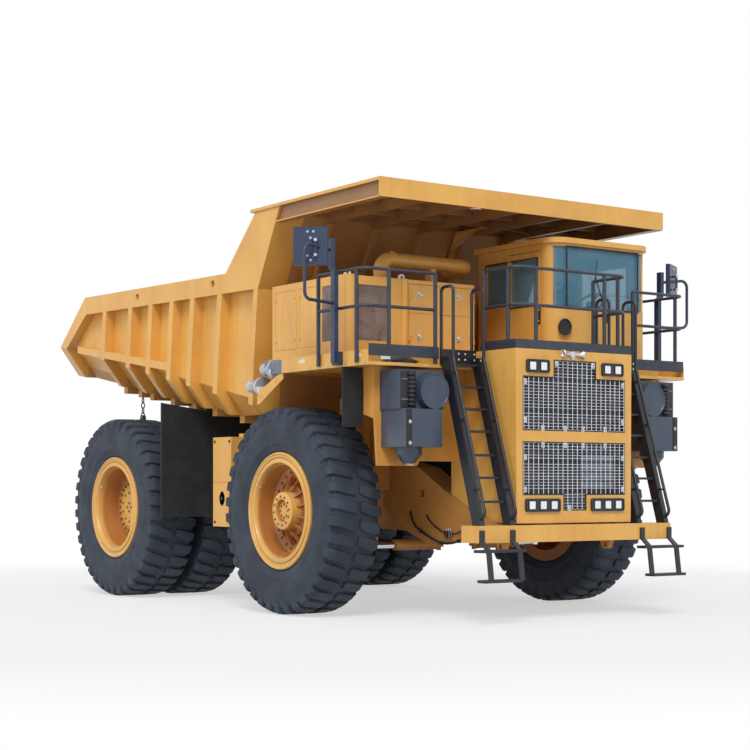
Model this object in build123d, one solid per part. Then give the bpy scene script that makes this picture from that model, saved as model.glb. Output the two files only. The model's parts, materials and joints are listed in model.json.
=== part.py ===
"""Mining dump truck: a rigid, electric drive haul truck with a tipping body.

Working axes: X to the truck's left, Y rearward from the front axle, Z up from the ground.
Everything is in millimetres.  save() moves each sub-part so that the origin lies on the
ground, in the middle of the truck's length.
"""
from build123d import *
import math
import os

os.makedirs("parts", exist_ok=True)

# ---------------------------------------------------------------- driving dimensions
WHEELBASE = 4600
TYRE_RADIUS = 1325
TYRE_WIDTH = 740
BEAD_RADIUS = 622            # 49 inch rim
RIM_FLANGE_RADIUS = 750
RIM_FLANGE = 28              # thickness of a flange
RIM_INSET = 45               # how far the flange stands inside the tyre's outer face
RIM_WALL = 26
RAIL_OUT = 640               # outer face of a frame rail, from the centre line
DUAL_GAP = 140               # between the twin tyres
FRONT_TYRE_INNER = 1860      # inner face of a front tyre, from the centre line
REAR_TYRE_INNER = RAIL_OUT + 380
FRONT_TYRE_OUTER = FRONT_TYRE_INNER + TYRE_WIDTH
REAR_TYRE_OUTER = REAR_TYRE_INNER + 2 * TYRE_WIDTH + DUAL_GAP

FRONT_TIP_Y = -3040          # foremost point: the hanging steps
REAR_TIP_Y = 7250            # rearmost point: the end of the body's floor
ORIGIN_Y = (FRONT_TIP_Y + REAR_TIP_Y) / 2

KINGPIN_X = 1420             # front strut and steering axis
STRUT_RADIUS = 165
SPINDLE_RADIUS = 150
RUNNING = 0.05               # radial clearance of a running fit
SEAT = 0.3                   # gap between separate pieces that bear on each other
MOVE = 6                     # clearance between moving pieces

# frame
RAIL_IN = 400
FRAME_FRONT_Y = -2500
PIVOT_Y = WHEELBASE + 850    # hinge of the body, at the tail of the frame
PIVOT_Z = 2360
PIVOT_PIN_RADIUS = 70
RAIL_TOP_FRONT = (1000, 2290)
RAIL_TOP_REAR = (PIVOT_Y - 150, 2586)
NOSE_Y = WHEELBASE - 1650    # ball joint of the rear axle
REAR_STRUT = (RAIL_OUT + 210, WHEELBASE + 530)

# steering: X, Y of the pins under the arms
STEER_ARM_Z = 950
STEER_PIN_RADIUS = 32
TIE_PIN = (1420, 620)
STEER_PIN = (1380, -400)
STEER_FOOT = (300, -400)
KNUCKLE_TOP = 1640

# body
BODY_HALF = 2320
RIB_DEPTH = 150
BODY_WALL = 45
BODY_FRONT_Y = 1050
FLOOR_FLAT_Z = 2620
FLOOR_KINK_Y = 1960
FLOOR_TAIL_Z = 3470
FLOOR_PLATE = 60
RAIL_TOP_Z = 4550
RAIL_REAR = (6190, 4630)
TAIL_TIP = (7110, 3900)
TOP_RAIL_DEEP = 270
FLOOR_HALF = BODY_HALF - 420 # where the floor meets the sloping lower sides
TIP_ANGLE = 48

# canopy
CANOPY_HALF = BODY_HALF + 20
CANOPY_FRONT_Y = -1927
CANOPY_TOP_Z = 5327
CANOPY_DEEP = 225
CANOPY_REAR_Y = 1070

# hood, bumper, decks
HOOD_FRONT_Y = -2764
HOOD_HALF_TOP = 950
HOOD_HALF_LOW = 935
HOOD_LOW_Z = 1193
DECK_TOP = 3295
DECK_PLATE = 50
DECK_LOW = 3110
DECK_MAIN_HALF = 2340        # the raised deck under the cab and the cabinets
WALK_TOP = 3110              # the lower walkway along the front and the sides
WALK_PLATE = 40
FASCIA_TOP = 3250
SIDE_WALK_REAR_Y = -150
HOOD_BACK_Y = -1500
BUMPER_HALF = 1567
BUMPER_FRONT_Y = -2835
BUMPER_LOW = 969
BUMPER_TOP = 1173
DECK_HALF = 2610
DECK_FRONT_Y = -2050
DECK_REAR_Y = 600
SHEET = 30                   # thickness of hood and cabinet walls

# cab
CAB_RIGHT = 500
CAB_LEFT = 2215
CAB_FRONT_Y = -1800
CAB_REAR_Y = -250
CAB_TOP = 4800
CAB_WALL = 60
CAB_CORNER = 220
WINDOW_LOW = 3975
WINDOW_HIGH = 4760
SCREEN_REAR_Y = -1710        # where the windscreen ends on the right side
SCREEN_LEFT = CAB_LEFT + 50
GLASS = 14

TUBE = 20                    # radius of the handrail pipes
POST = 25


# ---------------------------------------------------------------- helpers
def block(x, y, z):
    """Box between two corners: x, y and z are (low, high) pairs in any order."""
    size = [abs(b - a) for a, b in (x, y, z)]
    middle = [(a + b) / 2 for a, b in (x, y, z)]
    return Pos(*middle) * Box(*size)


def slab_x(points, x0, x1):
    """Polygon of (Y, Z) points, extruded from x0 to x1."""
    face = Plane.YZ * make_face(Polyline(*points, close=True))
    return Pos(min(x0, x1), 0, 0) * extrude(face, abs(x1 - x0))


def slab_y(points, y0, y1):
    """Polygon of (X, Z) points, extruded from y0 to y1."""
    face = Plane.XZ * make_face(Polyline(*points, close=True))
    return Pos(0, max(y0, y1), 0) * extrude(face, abs(y1 - y0))


def slab_z(points, z0, z1):
    """Polygon of (X, Y) points, extruded from z0 to z1."""
    face = make_face(Polyline(*points, close=True))
    return Pos(0, 0, min(z0, z1)) * extrude(face, abs(z1 - z0))


def rod(start, end, radius):
    """Cylinder between two points."""
    a, b = Vector(*start), Vector(*end)
    plane = Plane(origin=a, z_dir=b - a)
    return extrude(plane * Circle(radius), (b - a).length)


def ring_x(x0, x1, outer, inner, y, z):
    """Ring or disc on an axis along X."""
    body = rod((x0, y, z), (x1, y, z), outer)
    if inner:
        body -= rod((x0 - 1, y, z), (x1 + 1, y, z), inner)
    return body


def turned_x(profile, y, z):
    """Profile of (X, radius) points turned round an axis along X."""
    outline = make_face(Polyline(*profile, close=True))
    return Pos(0, y, z) * revolve(outline, Axis.X)


def other_side(shape):
    return mirror(shape, about=Plane.YZ)


def both(shape):
    """A piece and its mirror image on the other side of the truck."""
    return [shape, other_side(shape)]


def pipe(points, radius, bend):
    """Bent pipe through the points."""
    if len(points) == 2:
        return rod(points[0], points[1], radius)
    path = FilletPolyline(*points, radius=bend)
    start = Plane(origin=path @ 0, z_dir=path % 0)
    return sweep(start * Circle(radius), path=path)


def save(name, *shapes):
    solids = []
    for shape in shapes:
        solids.extend(shape.solids())
    moved = [Pos(0, -ORIGIN_Y, 0) * s for s in solids]
    export_step(Compound(children=moved), f"parts/{name}.step")


def between(a, b, y):
    """Height at y on the straight line from a to b, both (Y, Z)."""
    return a[1] + (b[1] - a[1]) * (y - a[0]) / (b[0] - a[0])


# ---------------------------------------------------------------- wheels
def tyre(outer_face):
    """Tyre on the left side whose outer side wall stands at X = outer_face."""
    wide = TYRE_WIDTH / 2
    mid = outer_face - wide
    bead = wide - RIM_INSET - RIM_FLANGE - 2
    # columns: half width, radius
    half = [(bead, BEAD_RADIUS), (bead, RIM_FLANGE_RADIUS + 3), (wide - 18, 870), (wide, 1010), (wide - 6, 1190),
            (wide - 25, 1268), (wide - 70, 1308), (wide - 150, TYRE_RADIUS)]
    return [(mid - w, r) for w, r in half] + [(mid + w, r) for w, r in reversed(half)]


def flange_outside(out, barrel):
    """Outer flange of a rim and the stepped rings inside it, from the bead seat to the barrel."""
    return [(out - RIM_FLANGE, barrel), (out - RIM_FLANGE, RIM_FLANGE_RADIUS), (out, RIM_FLANGE_RADIUS),
            (out, RIM_FLANGE_RADIUS - 60), (out - 14, RIM_FLANGE_RADIUS - 70), (out - 14, barrel - 4),
            (out - 60, barrel - 18), (out - 60, barrel - 34)]


def front_rim():
    out = FRONT_TYRE_OUTER - RIM_INSET
    back = FRONT_TYRE_INNER + RIM_INSET
    barrel = BEAD_RADIUS - SEAT
    inner = barrel - RIM_WALL
    profile = [(back, RIM_FLANGE_RADIUS), (back + RIM_FLANGE, RIM_FLANGE_RADIUS), (back + RIM_FLANGE, barrel),
               *flange_outside(out, barrel),
               (out - 250, inner - 40), (out - 285, 470), (out - 285, 340),
               (out - 210, 320), (out - 190, 250), (out - 50, 236), (out - 40, 215), (out - 40, 150),
               (out - 85, 140), (out - 85, 0), (out - 110, 0), (out - 110, SPINDLE_RADIUS + RUNNING),
               (back + 60, SPINDLE_RADIUS + RUNNING), (back + 60, 300), (out - 350, 420), (out - 320, inner - 110),
               (out - 280, inner), (back, inner)]
    return turned_x(profile, 0, TYRE_RADIUS)


def rear_rim():
    out = REAR_TYRE_OUTER - RIM_INSET
    back = REAR_TYRE_INNER + RIM_INSET
    barrel = BEAD_RADIUS - SEAT
    inner = barrel - RIM_WALL
    mid_in = REAR_TYRE_INNER + TYRE_WIDTH - RIM_INSET
    mid_out = mid_in + DUAL_GAP + 2 * RIM_INSET
    profile = [(back, RIM_FLANGE_RADIUS), (back + RIM_FLANGE, RIM_FLANGE_RADIUS), (back + RIM_FLANGE, barrel),
               (mid_in - RIM_FLANGE, barrel), (mid_in - RIM_FLANGE, RIM_FLANGE_RADIUS), (mid_in, RIM_FLANGE_RADIUS),
               (mid_in, barrel), (mid_out, barrel), (mid_out, RIM_FLANGE_RADIUS),
               (mid_out + RIM_FLANGE, RIM_FLANGE_RADIUS), (mid_out + RIM_FLANGE, barrel),
               *flange_outside(out, barrel),
               (out - 330, inner - 50), (out - 345, 430), (out - 300, 420), (out - 290, 300), (out - 265, 290),
               (out - 255, 260), (out - 255, 0), (out - 345, 0), (out - 345, SPINDLE_RADIUS + RUNNING),
               (out - 565, SPINDLE_RADIUS + RUNNING), (out - 565, 420), (out - 465, inner - 60),
               (out - 425, inner), (back, inner)]
    return turned_x(profile, WHEELBASE, TYRE_RADIUS)


def wheels():
    for side, flip in (("left", False), ("right", True)):
        front_tyre = turned_x(tyre(FRONT_TYRE_OUTER), 0, TYRE_RADIUS)
        outer_tyre = turned_x(tyre(REAR_TYRE_OUTER), WHEELBASE, TYRE_RADIUS)
        inner_tyre = turned_x(tyre(REAR_TYRE_OUTER - TYRE_WIDTH - DUAL_GAP), WHEELBASE, TYRE_RADIUS)
        pieces = {"front_tyre": front_tyre, "front_rim": front_rim(), "rear_outer_tyre": outer_tyre,
                  "rear_inner_tyre": inner_tyre, "rear_rim": rear_rim()}
        for name, piece in pieces.items():
            save(f"{name}_{side}", other_side(piece) if flip else piece)


# ---------------------------------------------------------------- frame
RAIL_SIDE = [(FRAME_FRONT_Y, 1560), (-700, 1640), RAIL_TOP_FRONT, RAIL_TOP_REAR, (PIVOT_Y + 70, 2540),
             (PIVOT_Y + 170, 2400), (PIVOT_Y + 150, 2230), (PIVOT_Y, 2160), (WHEELBASE - 300, 2050),
             (NOSE_Y + 400, 1760), (NOSE_Y - 450, 1130), (-300, 1040), (FRAME_FRONT_Y, 1000)]
BRACE_TOP = [(-885, 1875), (-1441, 1568), (-1807, 1391), (FRAME_FRONT_Y, BUMPER_TOP)]
BRACE_SIDE = [(-250, 2000), *BRACE_TOP, (FRAME_FRONT_Y, BUMPER_LOW), (-1760, 940), (-1390, 920), (-1040, 920),
              (-730, 1010), (-310, 1200), (-60, 1370)]
BRACE_OUT = 980
COLLAR_HALF_LONG = 230
HOIST_X = RAIL_OUT + 200
HOIST_FOOT = (2900, 1150)
TOWER_X = RAIL_OUT - 170
TOW_EYE = (-2420, 905)
TOW_EYE_RADIUS = 32
HOIST_EYE_HALF = 50
HOIST_BARREL = 140
HOIST_SLEEVE = 112
HOIST_ROD = 84
HOIST_PIN = 55
HOIST_TOP = (2700, 2600)


def main_frame():
    rail = slab_x(RAIL_SIDE, RAIL_IN, RAIL_OUT)
    rail -= rod((RAIL_IN - 1, PIVOT_Y, PIVOT_Z), (RAIL_OUT + 1, PIVOT_Y, PIVOT_Z), PIVOT_PIN_RADIUS + RUNNING)
    collar = slab_y([(RAIL_OUT, 1500), (1180, 1640), (1250, 1760), (1250, 2640), (1050, 2900), (0, 2900),
                     (0, 2640), (RAIL_OUT, 2640)], -COLLAR_HALF_LONG, COLLAR_HALF_LONG)
    half = rail + collar
    # deck posts stand on the collar and on the rails
    half += block((TOWER_X, TOWER_X + 160), (-180, 180), (2890, DECK_LOW - SEAT))
    half += block((TOWER_X, TOWER_X + 140), (560, 700), (2000, DECK_LOW - SEAT))
    # ears for the hoist foot, one each side of the cylinder
    ear = [(HOIST_FOOT[0] - 420, 1135), (HOIST_FOOT[0] - 110, 1040), (HOIST_FOOT[0] + 80, 1040),
           (HOIST_FOOT[0] + 110, 1180), (HOIST_FOOT[0] + 110, 1500), (HOIST_FOOT[0] - 420, 1400)]
    half += slab_x(ear, RAIL_OUT - 60, HOIST_X - HOIST_BARREL - MOVE)
    half += rod((RAIL_OUT, *HOIST_FOOT), (HOIST_X - HOIST_EYE_HALF - MOVE, *HOIST_FOOT), 92)
    half += rod((RAIL_OUT, *HOIST_FOOT), (HOIST_X + HOIST_EYE_HALF + 20, *HOIST_FOOT), HOIST_PIN)
    # lug that carries the top of the rear strut
    strut_x, strut_y = REAR_STRUT
    half += slab_x([(strut_y - 150, 2300), (strut_y + 150, 2300), (strut_y + 90, 2550), (strut_y - 90, 2550)],
                   RAIL_OUT - 1, strut_x - 106)
    frame = half + other_side(half)
    # cross members: columns Y, Z, radius
    for y, z, radius in ((-2300, 1280, 120), (1300, 1640, 150), (NOSE_Y, 1900, 150), (WHEELBASE + 400, 2330, 140)):
        frame += rod((-RAIL_IN - 1, y, z), (RAIL_IN + 1, y, z), radius)
    # engine bearers
    for y in (-1500, 500):
        frame += block((-RAIL_IN - 1, RAIL_IN + 1), (y - 90, y + 90), (1080, 1260))
    # steering cylinder feet hang under a cross member
    frame += block((-RAIL_IN - 1, RAIL_IN + 1), (STEER_FOOT[1] - 80, STEER_FOOT[1] + 80), (1040, 1140))
    for side in (-1, 1):
        frame += rod((side * STEER_FOOT[0], STEER_FOOT[1], STEER_ARM_Z - 160),
                     (side * STEER_FOOT[0], STEER_FOOT[1], 1041), STEER_PIN_RADIUS)
    # nose bracket for the rear axle's ball joint
    frame += block((-150, 150), (NOSE_Y - 60, NOSE_Y + 60), (1560, 1900))
    save("main_frame", frame)
    # braces from the collar down to the bumper, with the end plate and the tow eyes
    brace = slab_x(BRACE_SIDE, RAIL_OUT, BRACE_OUT)
    brace -= block((RAIL_OUT + 60, BRACE_OUT + 1), (-980, -880), (1500, 1600))
    braces = brace + other_side(brace)
    braces += block((-BRACE_OUT, BRACE_OUT), (FRAME_FRONT_Y, FRAME_FRONT_Y + 60), (1000, BUMPER_TOP))
    eye_y, eye_z = TOW_EYE
    for side in (-1, 1):
        lug = slab_x([(FRAME_FRONT_Y, 1010), (FRAME_FRONT_Y, 940), (eye_y - 40, 850), (eye_y + 40, 850),
                      (eye_y + 90, 940), (eye_y + 150, 1010)], side * 820, side * 900)
        braces += lug - rod((side * 800, eye_y, eye_z), (side * 920, eye_y, eye_z), TOW_EYE_RADIUS)
    save("front_braces", braces - frame)


def engine():
    save("engine_block", block((-380, 380), (-1750, 850), (1260 + SEAT, 2600)))
    # the core fills the hood behind both grilles, and its header stands on the rails
    core = block((15 - HOOD_HALF_LOW + SHEET, HOOD_HALF_LOW - SHEET - 15), (-2690, FRAME_FRONT_Y - 10), (1230, 3200))
    core += block((-760, 760), (FRAME_FRONT_Y - 11, -2380), (1575, 3100))
    rail_line = (RAIL_SIDE[0], RAIL_SIDE[1])
    foot = slab_x([(y, between(*rail_line, y) + SEAT) for y in (-2500, -2380)] + [(-2380, 1576), (-2500, 1576)],
                  RAIL_IN, RAIL_OUT)
    core += foot + other_side(foot)
    save("radiator", core)


# ---------------------------------------------------------------- front
GRILLE_HALF = 840
# heights of the long edge, the shoulder and the tab's end, then the tab's half width
UPPER_GRILLE = (2310, 2970, 3180, 350)
LOWER_GRILLE = (2180, 1530, 1340, 190)


def grille_outline(edges, inset):
    base, shoulder, tab, tab_half = edges
    way = 1 if tab > base else -1
    wide = GRILLE_HALF - inset
    narrow = tab_half - inset
    long_z, shoulder_z, tab_z = base + way * inset, shoulder - way * inset, tab - way * inset
    return [(-wide, long_z), (wide, long_z), (wide, shoulder_z), (narrow, shoulder_z), (narrow, tab_z),
            (-narrow, tab_z), (-narrow, shoulder_z), (-wide, shoulder_z)]


def hood_half(z):
    """Half width of the hood, whose sides lean outward a little."""
    share = (z - HOOD_LOW_Z) / (DECK_TOP - HOOD_LOW_Z)
    return HOOD_HALF_LOW + (HOOD_HALF_TOP - HOOD_HALF_LOW) * share


def hood():
    outer = slab_y([(-HOOD_HALF_LOW, HOOD_LOW_Z), (HOOD_HALF_LOW, HOOD_LOW_Z), (HOOD_HALF_TOP, DECK_TOP),
                    (-HOOD_HALF_TOP, DECK_TOP)], HOOD_FRONT_Y, HOOD_BACK_Y)
    inner = slab_y([(-HOOD_HALF_LOW + SHEET, HOOD_LOW_Z - 1), (HOOD_HALF_LOW - SHEET, HOOD_LOW_Z - 1),
                    (HOOD_HALF_TOP - SHEET, DECK_TOP - SHEET), (-HOOD_HALF_TOP + SHEET, DECK_TOP - SHEET)],
                   HOOD_FRONT_Y + SHEET, HOOD_BACK_Y + 1)
    shell = outer - inner
    # the sides stop above the frame braces
    line = [(y, z + SEAT) for y, z in BRACE_TOP] + [(FRAME_FRONT_Y - SEAT, BUMPER_TOP + SEAT)]
    line += [(FRAME_FRONT_Y - SEAT, HOOD_LOW_Z - 100), (BRACE_TOP[0][0], HOOD_LOW_Z - 100)]
    shell -= slab_x(line, -HOOD_HALF_TOP - 100, HOOD_HALF_TOP + 100)
    for edges in (UPPER_GRILLE, LOWER_GRILLE):
        shell -= slab_y(grille_outline(edges, 0), HOOD_FRONT_Y - 1, HOOD_FRONT_Y + SHEET + 1)
    save("hood", shell)


def grilles():
    panels = []
    for edges in (UPPER_GRILLE, LOWER_GRILLE):
        outline = slab_y(grille_outline(edges, SEAT), HOOD_FRONT_Y, HOOD_FRONT_Y + 12)
        opening = slab_y(grille_outline(edges, 16), HOOD_FRONT_Y - 1, HOOD_FRONT_Y + 13)
        frame = outline - opening
        low, high = min(edges[0], edges[2]), max(edges[0], edges[2])
        count = 7
        for i in range(1, count):
            z = low + (high - low) * i / count
            bar = block((-GRILLE_HALF, GRILLE_HALF), (HOOD_FRONT_Y + 2, HOOD_FRONT_Y + 10), (z - 8, z + 8))
            frame += bar & outline
        panels.append(frame)
    save("grilles", *panels)


def bumper():
    outer = block((-BUMPER_HALF, BUMPER_HALF), (BUMPER_FRONT_Y, FRAME_FRONT_Y - SEAT), (BUMPER_LOW, BUMPER_TOP))
    pocket = block((-BUMPER_HALF + 25, BUMPER_HALF - 25), (BUMPER_FRONT_Y + 25, FRAME_FRONT_Y - 60),
                   (BUMPER_LOW - 1, BUMPER_TOP - 25))
    save("front_bumper", outer - pocket)


# ---------------------------------------------------------------- ladders
LADDER_IN = HOOD_HALF_TOP + 50
LADDER_OUT = LADDER_IN + 540
CHANNEL = 70                 # width of a stringer
STRINGER_DEEP = 150
LADDER_TOP = (-2060, 3200)
LADDER_FOOT = (-2680, BUMPER_TOP + SEAT)
RUNGS_Z = (1454, 1739, 2010, 2295, 2565, 2836, 3105)
HOOP_TOP = 4050
HOOP_Y = (-2030, -2265)      # rear and front leg of the hoop
GRIP_FOOT = (-2878, 1308)
# hanging steps: Y, Z, inner X, outer X
STEP_ROWS = ((-2960, 880, LADDER_IN - 30, LADDER_OUT + 110), (-3010, 530, LADDER_IN + 65, LADDER_OUT + 96))
STRAPS_X = (LADDER_IN + 60, LADDER_OUT - 10)


def ladders():
    front_top = LADDER_TOP[0] - STRINGER_DEEP
    front_foot = LADDER_FOOT[0] - STRINGER_DEEP
    stringer = [LADDER_TOP, (front_top, LADDER_TOP[1]), (front_foot, LADDER_FOOT[1]), LADDER_FOOT]
    ladder = slab_x(stringer, LADDER_IN, LADDER_IN + CHANNEL)
    ladder += slab_x(stringer, LADDER_OUT - CHANNEL, LADDER_OUT)
    for z in RUNGS_Z:
        y = between(LADDER_TOP[::-1], LADDER_FOOT[::-1], z) - STRINGER_DEEP / 2
        ladder += block((LADDER_IN + 1, LADDER_OUT - 1), (y - 50, y + 50), (z - 15, z + 15))
    # plate across the top
    ladder += block((LADDER_IN + 1, LADDER_OUT - 1), (LADDER_TOP[0] - 14, LADDER_TOP[0]), (3100, 3300))
    # grip pipes: a hoop above the deck, then down along the slope
    for x in (LADDER_IN + CHANNEL / 2, LADDER_OUT - CHANNEL / 2):
        ladder += pipe([(x, HOOP_Y[0], WALK_TOP + SEAT), (x, HOOP_Y[0], HOOP_TOP), (x, HOOP_Y[1], HOOP_TOP),
                        (x, HOOP_Y[1], 3195), (x, *GRIP_FOOT), (x, LADDER_FOOT[0] - 80, 1215)], TUBE, 70)
        for z in (1600, 2430, 3000):
            front = between((front_top, LADDER_TOP[1])[::-1], (front_foot, LADDER_FOOT[1])[::-1], z)
            ladder += block((x - 12, x + 12), (front - 60, front + 10), (z - 12, z + 12))
    steps = None
    for x in STRAPS_X:
        strap = slab_x([(BUMPER_FRONT_Y - 22, 1120), (BUMPER_FRONT_Y - SEAT, 1120),
                        (BUMPER_FRONT_Y - SEAT, 980), (STEP_ROWS[0][0], 880), (STEP_ROWS[1][0], 530),
                        (STEP_ROWS[1][0] - 22, 530), (STEP_ROWS[0][0] - 22, 890), (BUMPER_FRONT_Y - 22, 990)],
                       x - 35, x + 35)
        steps = strap if steps is None else steps + strap
    for y, z, x0, x1 in STEP_ROWS:
        steps += block((x0, x1), (y - 29, y + 120), (z - 20, z + 14))
    save("ladders", *both(ladder), *both(steps))


# ---------------------------------------------------------------- decks
def deck_side(front_y):
    """Left half of the deck: the raised plate from front_y back, and the lower walkway round it."""
    hood_side = HOOD_HALF_TOP + SEAT

    def plan(inset):
        outline = [(DECK_MAIN_HALF - inset, front_y + inset), (DECK_MAIN_HALF - inset, DECK_REAR_Y - inset),
                   (0, DECK_REAR_Y - inset), (0, HOOD_BACK_Y + SEAT)]
        if front_y < HOOD_BACK_Y:
            outline += [(hood_side, HOOD_BACK_Y + SEAT), (hood_side, front_y + inset)]
        return outline
    half = slab_z(plan(0), DECK_TOP - DECK_PLATE, DECK_TOP)
    hollow = slab_z(plan(60), DECK_LOW - 1, DECK_TOP - DECK_PLATE)
    hollow -= block((-1, RAIL_OUT + 60), (-1500, 1000), (DECK_LOW - 2, DECK_TOP))
    half += slab_z(plan(0), DECK_LOW, DECK_TOP - DECK_PLATE) - hollow
    for y in (-900, 0):
        half += block((RAIL_OUT, DECK_MAIN_HALF - 60), (y - 40, y + 40), (DECK_LOW, DECK_TOP - DECK_PLATE + 1))
    # walkway, and the fascia at its outer edge
    low = WALK_TOP - WALK_PLATE
    half += block((hood_side, DECK_HALF), (DECK_FRONT_Y, HOOD_BACK_Y + 60), (low, WALK_TOP))
    half += block((DECK_MAIN_HALF - 40, DECK_HALF), (DECK_FRONT_Y, SIDE_WALK_REAR_Y), (low, WALK_TOP))
    half += block((DECK_HALF - 15, DECK_HALF), (DECK_FRONT_Y, SIDE_WALK_REAR_Y), (low, FASCIA_TOP))
    return half


def decks():
    save("decks", deck_side(CAB_FRONT_Y - 50) + other_side(deck_side(HOOD_BACK_Y + SEAT)))


FENDER_Y = -1800
FENDER_OUT = 2340
FENDER_LOW = 1886
FENDER_STEP = 1945           # lower edge beside the hood


def fenders():
    top = WALK_TOP - WALK_PLATE - SEAT
    face = slab_y([(hood_half(FENDER_STEP) + SEAT, FENDER_STEP), (1663, FENDER_STEP), (1700, FENDER_LOW),
                   (FENDER_OUT - 40, FENDER_LOW), (FENDER_OUT, 2500), (FENDER_OUT, top), (hood_half(top) + SEAT, top)],
                  FENDER_Y, FENDER_Y + 20)
    flange = slab_x([(FENDER_Y, FENDER_LOW + 560), (FENDER_Y, top), (FENDER_Y + 220, top),
                     (FENDER_Y + 220, FENDER_LOW + 620)], FENDER_OUT - 20, FENDER_OUT)
    save("fenders", *both(face + flange))
    # rubber flap that hangs from the walkway over the front tyre
    flap = block((FENDER_OUT + SEAT, DECK_HALF + 20), (-1560, -1545), (2350, top))
    save("fender_flaps", *both(flap))


AIR_X = LADDER_OUT + 65
CAP_Y = -1780


def air_cleaners():
    upper = block((AIR_X, AIR_X + 650), (-2200, FENDER_Y - SEAT), (2555, 3020))
    lower = block((AIR_X + 95, AIR_X + 630), (-2300, FENDER_Y - SEAT), (2105, 2555))
    can = rod((AIR_X + 195, -2290, 2770), (AIR_X + 195, -2190, 2770), 215)
    cup_x = AIR_X + 405
    cup = Pos(cup_x, -2050, 2106) * Cylinder(160, 90, align=(Align.CENTER, Align.CENTER, Align.MAX))
    cup += Pos(cup_x, -2050, 2020) * Cone(70, 160, 110, align=(Align.CENTER, Align.CENTER, Align.MAX))
    # low intake cap on the walkway
    cap_x = AIR_X + 345
    cap = rod((cap_x, CAP_Y, WALK_TOP + SEAT), (cap_x, CAP_Y, WALK_TOP + 35), 215)
    cap += Pos(cap_x, CAP_Y, WALK_TOP + 34) * Cone(245, 130, 55, align=(Align.CENTER, Align.CENTER, Align.MIN))
    save("air_cleaners", *both(upper + lower + can + cup), other_side(cap))


# ---------------------------------------------------------------- handrails and toe boards
SIDE_RAILS = (4210, 3770)     # heights of the top and the middle rail
HOOD_RAILS = (4280, 3830)
RAIL_LINE_Y = DECK_FRONT_Y + 30
RAIL_LINE_X = DECK_HALF + POST + SEAT
RAIL_END_Y = -1040
RAIL_BEND = 120
TOE_LOW = 3180
TOE_TOP = 3320


def side_rails(start_x, front_posts):
    """Rails of the left walkway, from start_x round the corner to the rearmost post."""
    plan = [(start_x, RAIL_LINE_Y), (RAIL_LINE_X, RAIL_LINE_Y), (RAIL_LINE_X, RAIL_END_Y)]
    rails = None
    for z in SIDE_RAILS:
        bar = pipe([(x, y, z) for x, y in plan], TUBE, RAIL_BEND)
        rails = bar if rails is None else rails + bar
    for x in front_posts:
        rails += rod((x, RAIL_LINE_Y, WALK_TOP + SEAT), (x, RAIL_LINE_Y, SIDE_RAILS[0] + 4), POST)
    # the posts on the side stand outside the fascia
    for y in (RAIL_LINE_Y + RAIL_BEND + 40, RAIL_END_Y):
        rails += rod((RAIL_LINE_X, y, WALK_TOP - 10), (RAIL_LINE_X, y, SIDE_RAILS[0] + 4), POST)
    rails += block((start_x - 30, DECK_HALF - 20), (RAIL_LINE_Y - POST - 14, RAIL_LINE_Y - POST + 4),
                   (TOE_LOW, TOE_TOP))
    return rails


def hood_rails():
    front_y = HOOD_FRONT_Y + 40
    rear_y = DECK_FRONT_Y - 60
    corner = HOOD_HALF_TOP - 47
    foot = DECK_TOP + SEAT
    front = None
    for z in HOOD_RAILS:
        bar = pipe([(-corner, rear_y, z), (-corner, front_y, z), (corner, front_y, z), (corner, rear_y, z)],
                   TUBE, RAIL_BEND)
        front = bar if front is None else front + bar
    for x in (-595, 526):
        front += rod((x, front_y, foot), (x, front_y, HOOD_RAILS[0] + 4), POST)
        front += block((x - 40, x + 40), (HOOD_FRONT_Y + 1, front_y + 30), (foot, DECK_TOP + 60))
    for x in (-corner, corner):
        for y in (rear_y, front_y + RAIL_BEND + 40):
            front += rod((x, y, foot), (x, y, HOOD_RAILS[0] + 4), POST)
            front += block((x - 40, x + 40), (y - 32, y + 30), (foot, DECK_TOP + 60))
    board_top = DECK_TOP + 110
    front += block((-HOOD_HALF_TOP, HOOD_HALF_TOP), (HOOD_FRONT_Y, HOOD_FRONT_Y + 15), (foot, board_top))
    for side in (-1, 1):
        front += block((side * (HOOD_HALF_TOP - 15), side * HOOD_HALF_TOP), (HOOD_FRONT_Y, rear_y), (foot, board_top))
    return front


def handrails():
    first = LADDER_OUT + 50
    left = side_rails(first + 100, (first + 100,))
    right = side_rails(first, (first, 2280))
    save("handrails", left, other_side(right), hood_rails())


# ---------------------------------------------------------------- door hinges
HINGE_PROUD = 16             # how far a hinge line stands out from the wall
HINGE_RADIUS = 13
HINGE_PIN = 6
HINGE_LONG = 50              # height of one knuckle


def hinge_cylinders(x, y, z):
    """Knuckle with its pin for the fixed side, and the bored knuckle above it for the door."""
    fixed = rod((x, y, z), (x, y, z + HINGE_LONG), HINGE_RADIUS)
    fixed += rod((x, y, z), (x, y, z + 2 * HINGE_LONG), HINGE_PIN)
    moving = rod((x, y, z + HINGE_LONG + SEAT), (x, y, z + 2 * HINGE_LONG), HINGE_RADIUS)
    moving -= rod((x, y, z), (x, y, z + 3 * HINGE_LONG), HINGE_PIN + RUNNING)
    return fixed, moving


# ---------------------------------------------------------------- cab
DOOR_FRONT_Y = -1560
DOOR_REAR_Y = -900
DOOR_WINDOW = ((-1475, DOOR_REAR_Y - 36), (4020, 4620))    # Y and Z
DOOR_LOW = DECK_TOP + 70
DOOR_HIGH = 4720
DOOR_GAP = 8
CAB_HINGE = (CAB_RIGHT - HINGE_PROUD, DOOR_REAR_Y - DOOR_GAP / 2)
CAB_HINGES_Z = (3500, 4520)


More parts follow.
